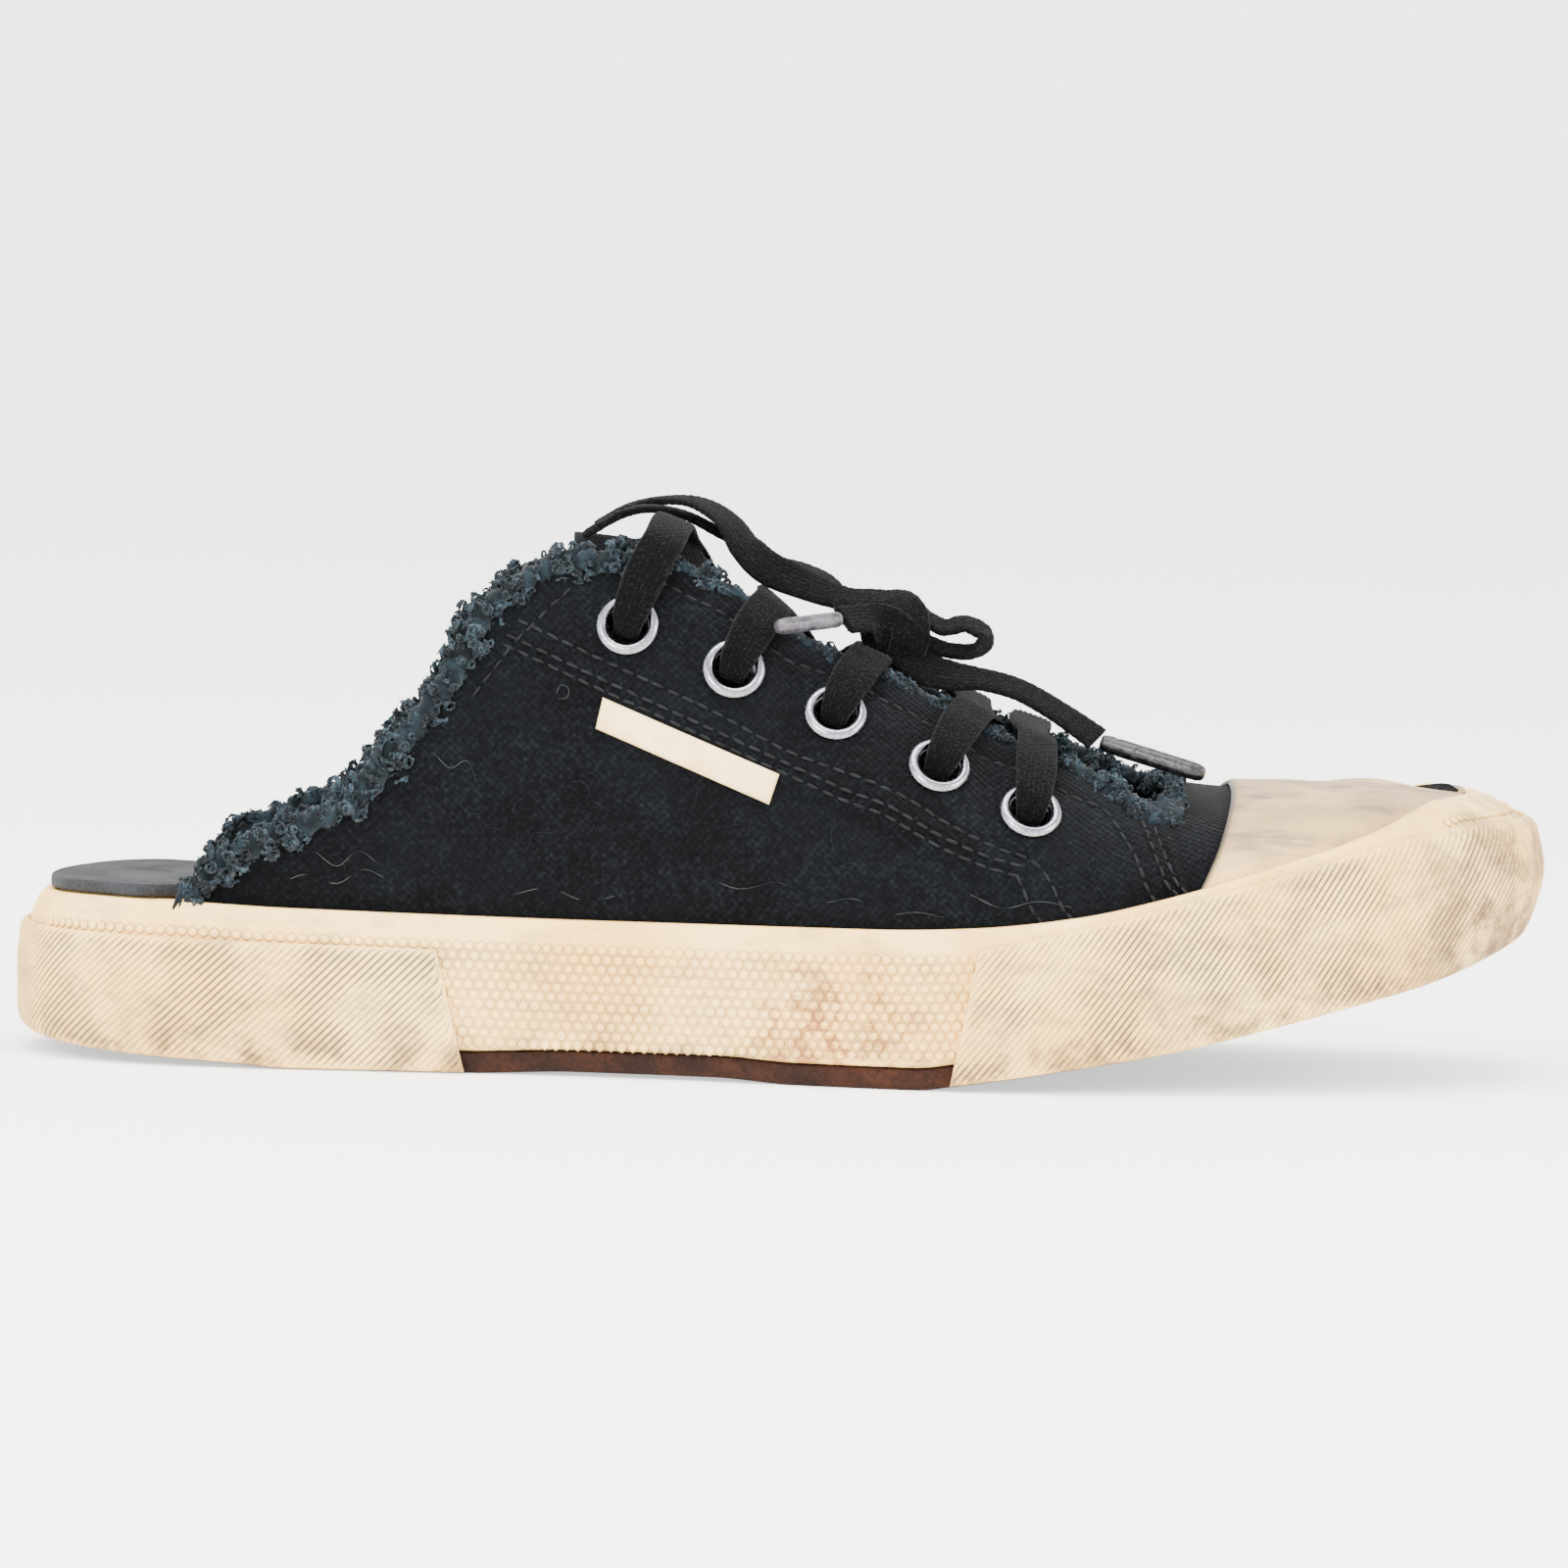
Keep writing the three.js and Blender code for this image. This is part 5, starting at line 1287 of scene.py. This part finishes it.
def strap(k, side, lean, slack=0.0):
    """rows from inside eyelet k over its rim and up to the throat edge"""
    place, normal, _ = eyelet_place(k, side)
    over = 0.5 + 1.25 + GAP + LACE_THICK / 2 + 0.2
    x, start = EYELET_X[k], phi_at(EYELET_X[k], EYELET_Z[k], side)
    end = phi_at_y(x + lean, throat_edge(x + lean, side))

    def going(t, off, wide):
        p, n, _ = on_last(x + lean * t, start * (1 - t) + end * t, off)
        return guide(p, n, wide)

    way = unit(np.array(going(0.5, 0.0, 0)[:3]) - place)
    dips = [guide(place + normal * off + way * along, unit(normal - 1.2 * way), wide)
            for along, off, wide in ((-0.9, -1.6, 5.0), (-0.3, 1.0, 5.6), (1.6, over - 0.1, 6.8))]
    return dips + [going(0.5, over + 0.35 + slack * 0.3, LACE_WIDE),
                   going(0.8, over + slack * 0.8, LACE_WIDE),
                   going(1.06, over - 0.4 + slack, LACE_WIDE)]


def over_tongue(x, share, off):
    y = throat_edge(x, -1) * (1 - share) / 2 + throat_edge(x, 1) * (1 + share) / 2
    p, n, _ = on_last(x, phi_at_y(x, y), off)
    return guide(p, n, LACE_WIDE)


def laced_runs():
    bar_x = EYELET_X[4] + 0.5
    middle = [over_tongue(bar_x, s, 0.4 if abs(s) > 0.3 else -0.6) for s in (-0.55, 0, 0.55)]
    runs = [strap(4, -1, 0.5) + middle + strap(4, 1, 0.5)[::-1]]
    for k in range(4):
        slack = SLACK if k == 0 else 0
        low, high = EYELET_X[k + 1] - 4, EYELET_X[k] + 6
        for side, lift in ((-1, 0.6), (1, -0.4)):
            runs.append([over_tongue(low, -side * 0.93, REST),
                         over_tongue(low * 0.7 + high * 0.3, -side * 0.5, REST + 0.6 + lift),
                         over_tongue(low * 0.45 + high * 0.55, 0, REST + 1.5 + lift),
                         over_tongue(low * 0.18 + high * 0.82, side * 0.55, -0.4 + slack * 0.7)]
                        + strap(k, side, 5.5, slack)[::-1])
    return runs


points, faces, marks = shape([lace_run(rows)[0] for rows in laced_runs()])
finish_piece(piece("laced_runs", points, faces, lace_black, marks, tidy=True), "lace", "lace_bar",
             *[f"lace_cross_{k + 1}" for k in range(4)])

# ------------------------------------------------------------------ frayed edges
# Raw canvas frayed by hand along collar and throat: a thick roll of loose teal-grey cotton ends,
# curled like towelling, with a tassel hanging over the foxing at the back.
rng = np.random.default_rng(7)


def frayed_cotton():
    """Loose cotton ends: matt, teal-grey where the dye has washed out, paler at the tufts' tips and dark
    at their feet deep in the roll, partly as washed-out dye and partly as painted light and shade.
    """
    material, tree, where = start_finish("frayed_cotton")
    tone = cloud(tree, where, 3.0, detail=4, low=0.35, high=0.68)
    tips = add(tree, "ShaderNodeAttribute", attribute_name="tip").outputs["Fac"]
    colour = tint(tree, tone, "#060a0d", "#18242b")
    colour = tint(tree, times(tree, cloud(tree, where, 9, low=0.45, high=0.65), 0.5), colour, "#0c1218")
    # tips paler and feet dark: partly washed-out dye, partly painted light on the ends and painted shade deep
    # in the fringe
    pale = times(tree, tips, cloud(tree, where, 1.4, low=0.45, high=0.7), 0.8)
    colour = tint(tree, pale, colour, "#3b4e58")
    close_finish(tree, Base_Color=colour, Roughness=0.95, Specular_IOR_Level=0.15, Sheen_Weight=0.08,
                 Sheen_Roughness=0.5)
    return material


def curl(reach, turns, radius, thick, phase):
    """a curled yarn standing on z"""
    t = np.linspace(0, 1, 7)
    turn = turns * 2 * np.pi * t + phase
    grow = radius * np.sin(np.pi * t * 0.85)
    centre = np.column_stack([grow * np.cos(turn), grow * np.sin(turn), reach * t * (1 - 0.35 * t)])
    return tube(centre, thick * (1 - 0.45 * t), 4)


def curl_tuft(reach, thick):
    parts = [curl(reach, 0.9, reach * 0.32, thick, 0.4), curl(reach * 0.8, -0.8, reach * 0.4, thick, 2.5),
             curl(reach * 0.9, 1.1, reach * 0.22, thick * 0.9, 4.4)]
    points, faces, _ = shape(parts)
    return points, faces


def edge_line(side, x0, x1, step):
    """points along the raw edge with the cloth's normal and the way out of the cloth"""
    x = np.linspace(x0, x1, 700)
    phi = edge_phi(x, side)
    place, normal, _ = on_last(x, phi, 0 * x)
    place, normal, _ = even(place, normal, step)
    forward = unit(np.gradient(place, axis=0))
    away = unit(np.cross(forward, unit(normal))) * -side
    return place, unit(normal), away, forward


def front_line(step):
    """the same across the front of the throat, from the outer side to the inner"""
    y = np.linspace(-31, 35, 200)
    x = np.interp(y, *np.array(THROAT_FRONT).T)
    place, normal, _ = on_last(x, phi_at_y(x, y), 0 * x)
    place, normal, _ = even(place, normal, step)
    forward = unit(np.gradient(place, axis=0))
    return place, unit(normal), -unit(np.cross(forward, unit(normal))), forward


def roll(place, normal, away, wide, tall):
    """the matted roll under the loose ends: a lumpy closed tube along the edge"""
    run = np.linspace(0, 1, len(place))
    turn = np.linspace(0, 2 * np.pi, 13)[:-1]
    lump = 1 + 0.18 * np.sin(run[:, None] * 190 + 2 * np.cos(turn)) + 0.12 * rng.normal(0, 1, (len(run), 12))
    taper = np.sqrt(np.clip(np.minimum(run, 1 - run) * 25, 0.05, 1))[:, None] * lump
    ring = (place[:, None] + away[:, None] * (np.cos(turn) * wide * taper)[:, :, None]
            + normal[:, None] * (np.sin(turn) * tall * taper)[:, :, None])
    faces = quads(len(run), 12, wrap=True)
    faces += [list(range(12)), list(range((len(run) - 1) * 12, len(run) * 12))[::-1]]
    return ring.reshape(-1, 3), faces


def fray(name, lines, finish, tuft, seed):
    """tufts thickly set in a band along raw edges; lines hold edge, half width, height and number a mm"""
    points, out, forward, size = [], [], [], []
    for (place, normal, away, along), wide, tall, per_mm in lines:
        run = np.concatenate([[0], np.cumsum(np.linalg.norm(np.diff(place, axis=0), axis=1))])
        count = int(run[-1] * per_mm)
        at = rng.uniform(0, run[-1], count)
        pick = lambda rows: np.stack([np.interp(at, run, column) for column in rows.T], -1)
        lumpy = 0.75 + 0.25 * np.sin(at * 0.8 + np.sin(at * 0.31) * 2) + rng.uniform(-0.1, 0.1, count)
        angle = rng.uniform(-0.5, 1.25, count) * np.pi
        spread = np.sqrt(rng.uniform(0.15, 1, count)) * lumpy
        n, a, f = unit(pick(normal)), unit(pick(away)), unit(pick(along))
        radial = a * np.cos(angle)[:, None] + n * np.sin(angle)[:, None]
        points.append(pick(place) + (a * np.cos(angle)[:, None] * wide + n * np.sin(angle)[:, None] * tall)
                      * spread[:, None])
        out.append(unit(radial + f * rng.normal(0, 0.45, count)[:, None] + rng.normal(0, 0.3, (count, 3))
                        - [0, 0, 0.35]))
        forward.append(f)
        size.append(np.full(count, 1.0) * lumpy)
    made = set_shapes(name, np.vstack(points), np.vstack(out), np.vstack(forward), tuft, finish,
                      size=np.concatenate(size), size_spread=0.35, turn_spread=math.pi, seed=seed)
    # the tip mark runs from 0 at a tuft's foot to 1 at its end; the shader pales the ends, leaving the feet
    # dark as painted shade
    count = len(tuft[0])
    height = tuft[0][:, 2] / tuft[0][:, 2].max()
    tip = np.tile(height, len(made.data.vertices) // count).astype(np.float32)
    made.data.attributes.new("tip", "FLOAT", "POINT").data.foreach_set("value", tip)
    rolls = [roll(place, normal, away, wide * 0.72, tall * 0.8) + ({},)
             for (place, normal, away, _), wide, tall, _ in lines]
    base_roll = piece(name + "_roll", *shape(rolls)[:2], finish, tidy=True)
    return join_pieces(made, base_roll)


# the frayed band: where it starts, tops out, widens and ends along the shoe
FRAY_REAR, FRAY_TOP, FRAY_WIDENS, FRAY_FRONT = -111.8, -23, 53, 74.6
THROAT_FRONT = [[-30.5, 71.5], [-27, 73.6], [-14, 75], [4, 75.6], [20, 75], [32, 73.4], [35, 71]]
cotton = frayed_cotton()
for side, word in ((-1, "outer"), (1, "inner")):
    rear = [(edge_line(side, FRAY_REAR, FRAY_TOP, 0.5), 3.1, 2.7, 7.2)]
    made = fray(f"collar_fray_{word}", rear, cotton, curl_tuft(3.2, 0.4), 11 + side)
    finish_piece(made, "canvas")
    front = [(edge_line(side, FRAY_TOP, FRAY_WIDENS, 0.5), 1.8, 1.2, 5.0),
             (edge_line(side, FRAY_WIDENS, FRAY_FRONT, 0.4), 3.6, 2.2, 9.0)]
    front += [(front_line(0.4), 1.5, 1.0, 6.0)] * (side < 0)
    made = fray(f"throat_fray_{word}", front, cotton, curl_tuft(2.3, 0.3), 21 + side)
    finish_piece(made, "canvas")
tassel_root = on_last(np.array([-111.6]), phi_at(np.array([-111.6]), 32.6, -1), np.array([1.2]))[0][0]
strands = []
for k in range(16):
    t = np.linspace(0, 1, 8)
    fall = rng.uniform(4.5, 8.5)
    drift = rng.uniform(-2.6, 2.2)
    sway = 0.5 * np.sin(2 * np.pi * (t * rng.uniform(0.8, 1.6) + rng.uniform()))
    back_to_front = rng.uniform(-1.6, 1.6) + drift * t
    sag = -1.4 * np.sin(np.pi * t * 0.7) + sway * 0.4
    centre = tassel_root + np.column_stack([back_to_front, sag, 2.2 - fall * t + sway * 0.3])
    strands.append(tube(centre, 0.34 * (1.1 - 0.5 * t), 5))
points, faces, _ = shape(strands)
finish_piece(piece("frayed_tassel", points, faces, cotton, tidy=True), "canvas")

# ------------------------------------------------------------------ lint
# Stray threads and fluff that cling to the worn cloth: a few long dull threads just above the
# foxing, curls by the collar, and short hairs everywhere.
LONG_THREADS = [[[-15, 39], [-8, 36.5], [0, 38], [7, 34.5], [14, 35.5], [20, 32.8], [26, 33.4], [31, 32.6]],
                [[-96, 34.2], [-90, 36.8], [-84, 35.2], [-79, 38], [-74, 36]],
                [[-43.4, 72], [-42.4, 73.6], [-41, 73], [-41.4, 71.2], [-43, 71]],
                [[-88, 41], [-84, 38.5], [-80, 41.5], [-76, 39]],
                [[-66, 60], [-63, 57.5], [-60, 59], [-58, 55]],
                [[-52, 33.5], [-44, 35.4], [-37, 33.2], [-30, 34.6]],
                [[36, 37], [42, 34.6], [49, 36], [55, 35]]]
HAIRS = 170


def cotton_lint(name, dull, pale):
    """Fluff and sewing thread, grey with dust: matt, hardly paler than the cloth."""
    material, tree, where = start_finish(name)
    close_finish(tree, Base_Color=tint(tree, cloud(tree, where, 4), dull, pale), Roughness=0.95,
                 Specular_IOR_Level=0.05)
    return material


def lying_thread(line, side, thick, lift):
    """a thread lying on the cloth along x, z points"""
    flat = through_points(np.column_stack([line, 0 * np.asarray(line)[:, 0]]), 5)[:, :2]
    x, z = flat.T
    z = np.maximum(z, fox_top(x) + 0.8)
    stand = cloth_lift(x, z, side) + 0.1 + lift * np.sin(np.linspace(0, 9, len(x))) ** 2
    return tube(on_last(x, phi_at(x, z, side), stand)[0], thick, 4)


points, faces, _ = shape([lying_thread(line, -1, 0.08, 0.35) for line in LONG_THREADS])
thread = cotton_lint("pale_thread", "#16191b", "#3c3f3e")
finish_piece(piece("long_threads", points, faces, thread, tidy=True), "canvas")
hairs = []
for k in range(HAIRS):
    side = -1 if k % 3 else 1
    x = rng.uniform(-96, 70)
    roof = last_point(u_at(x), edge_phi(np.array([x]), side))[0, 2] - 5
    z = rng.uniform(fox_top(x) + 2, max(roof, fox_top(x) + 3))
    heading = rng.uniform(0, 2 * np.pi) + np.linspace(0, rng.uniform(-2.6, 2.6), 4)
    step = rng.uniform(0.7, 2.2)
    line = np.array([x, z]) + np.cumsum(np.column_stack([np.cos(heading), np.sin(heading)]) * step, axis=0)
    line[:, 1] = np.minimum(line[:, 1], roof + 3)
    hairs.append(lying_thread(line, side, 0.045, 0.25))
points, faces, _ = shape(hairs)
lint = cotton_lint("cotton_lint", "#0b0e10", "#202427")
finish_piece(piece("clinging_lint", points, faces, lint, tidy=True), "canvas")

# ------------------------------------------------------------------ floor and light
# A seamless white sweep: flat round the shoe, then curving up on every side.
SWEEP_FLAT, SWEEP_BEND, SWEEP_TALL = 3600, 1400, 4200


def sweep():
    """the floor as a shallow bowl of rings round the middle"""
    bend = np.radians(np.linspace(0, 90, 13))
    radius = np.concatenate([[5, 1200, 2400], SWEEP_FLAT + SWEEP_BEND * np.sin(bend),
                             [SWEEP_FLAT + SWEEP_BEND]])
    height = np.concatenate([[0, 0, 0], SWEEP_BEND * (1 - np.cos(bend)), [SWEEP_TALL]])
    turn = np.linspace(0, 2 * np.pi, 96, endpoint=False)
    rows = np.stack([radius[:, None] * np.cos(turn), radius[:, None] * np.sin(turn),
                     height[:, None] + 0 * turn], -1)
    lowest = SHIFT[2]
    points = rows.reshape(-1, 3) - [SHIFT[0], SHIFT[1], lowest]
    return points, quads(len(radius), 96, wrap=True) + [list(range(96))]


floor_material, tree, where = start_finish("matt_white_sweep")
close_finish(tree, Base_Color=linear("#fbfaf8"), Roughness=0.95, Specular_IOR_Level=0.1,
             Emission_Color=linear("#ffffff"), Emission_Strength=0.9)
floor = piece("floor", *sweep(), floor_material)


def softbox(name, place, size, power):
    """a square light that looks at the shoe"""
    data = bpy.data.lights.new(name, "AREA")
    data.size = size
    data.energy = power
    made = bpy.data.objects.new(name, data)
    bpy.context.scene.collection.objects.link(made)
    made.location = place
    made.rotation_mode = "QUATERNION"
    made.rotation_quaternion = (Vector((0, 0, 0.05)) - Vector(place)).to_track_quat("-Z", "Y")


softbox("top_light", (-0.1, -0.2, 1.5), 1.2, 42)
softbox("front_light", (-0.7, -1.6, 0.9), 0.9, 40)
softbox("toe_light", (1.3, -0.7, 0.7), 0.7, 18)
world = bpy.data.worlds.new("studio")
bpy.context.scene.world = world
world.use_nodes = True
world.node_tree.nodes["Background"].inputs["Color"].default_value = linear("#ffffff")
world.node_tree.nodes["Background"].inputs["Strength"].default_value = 1.9
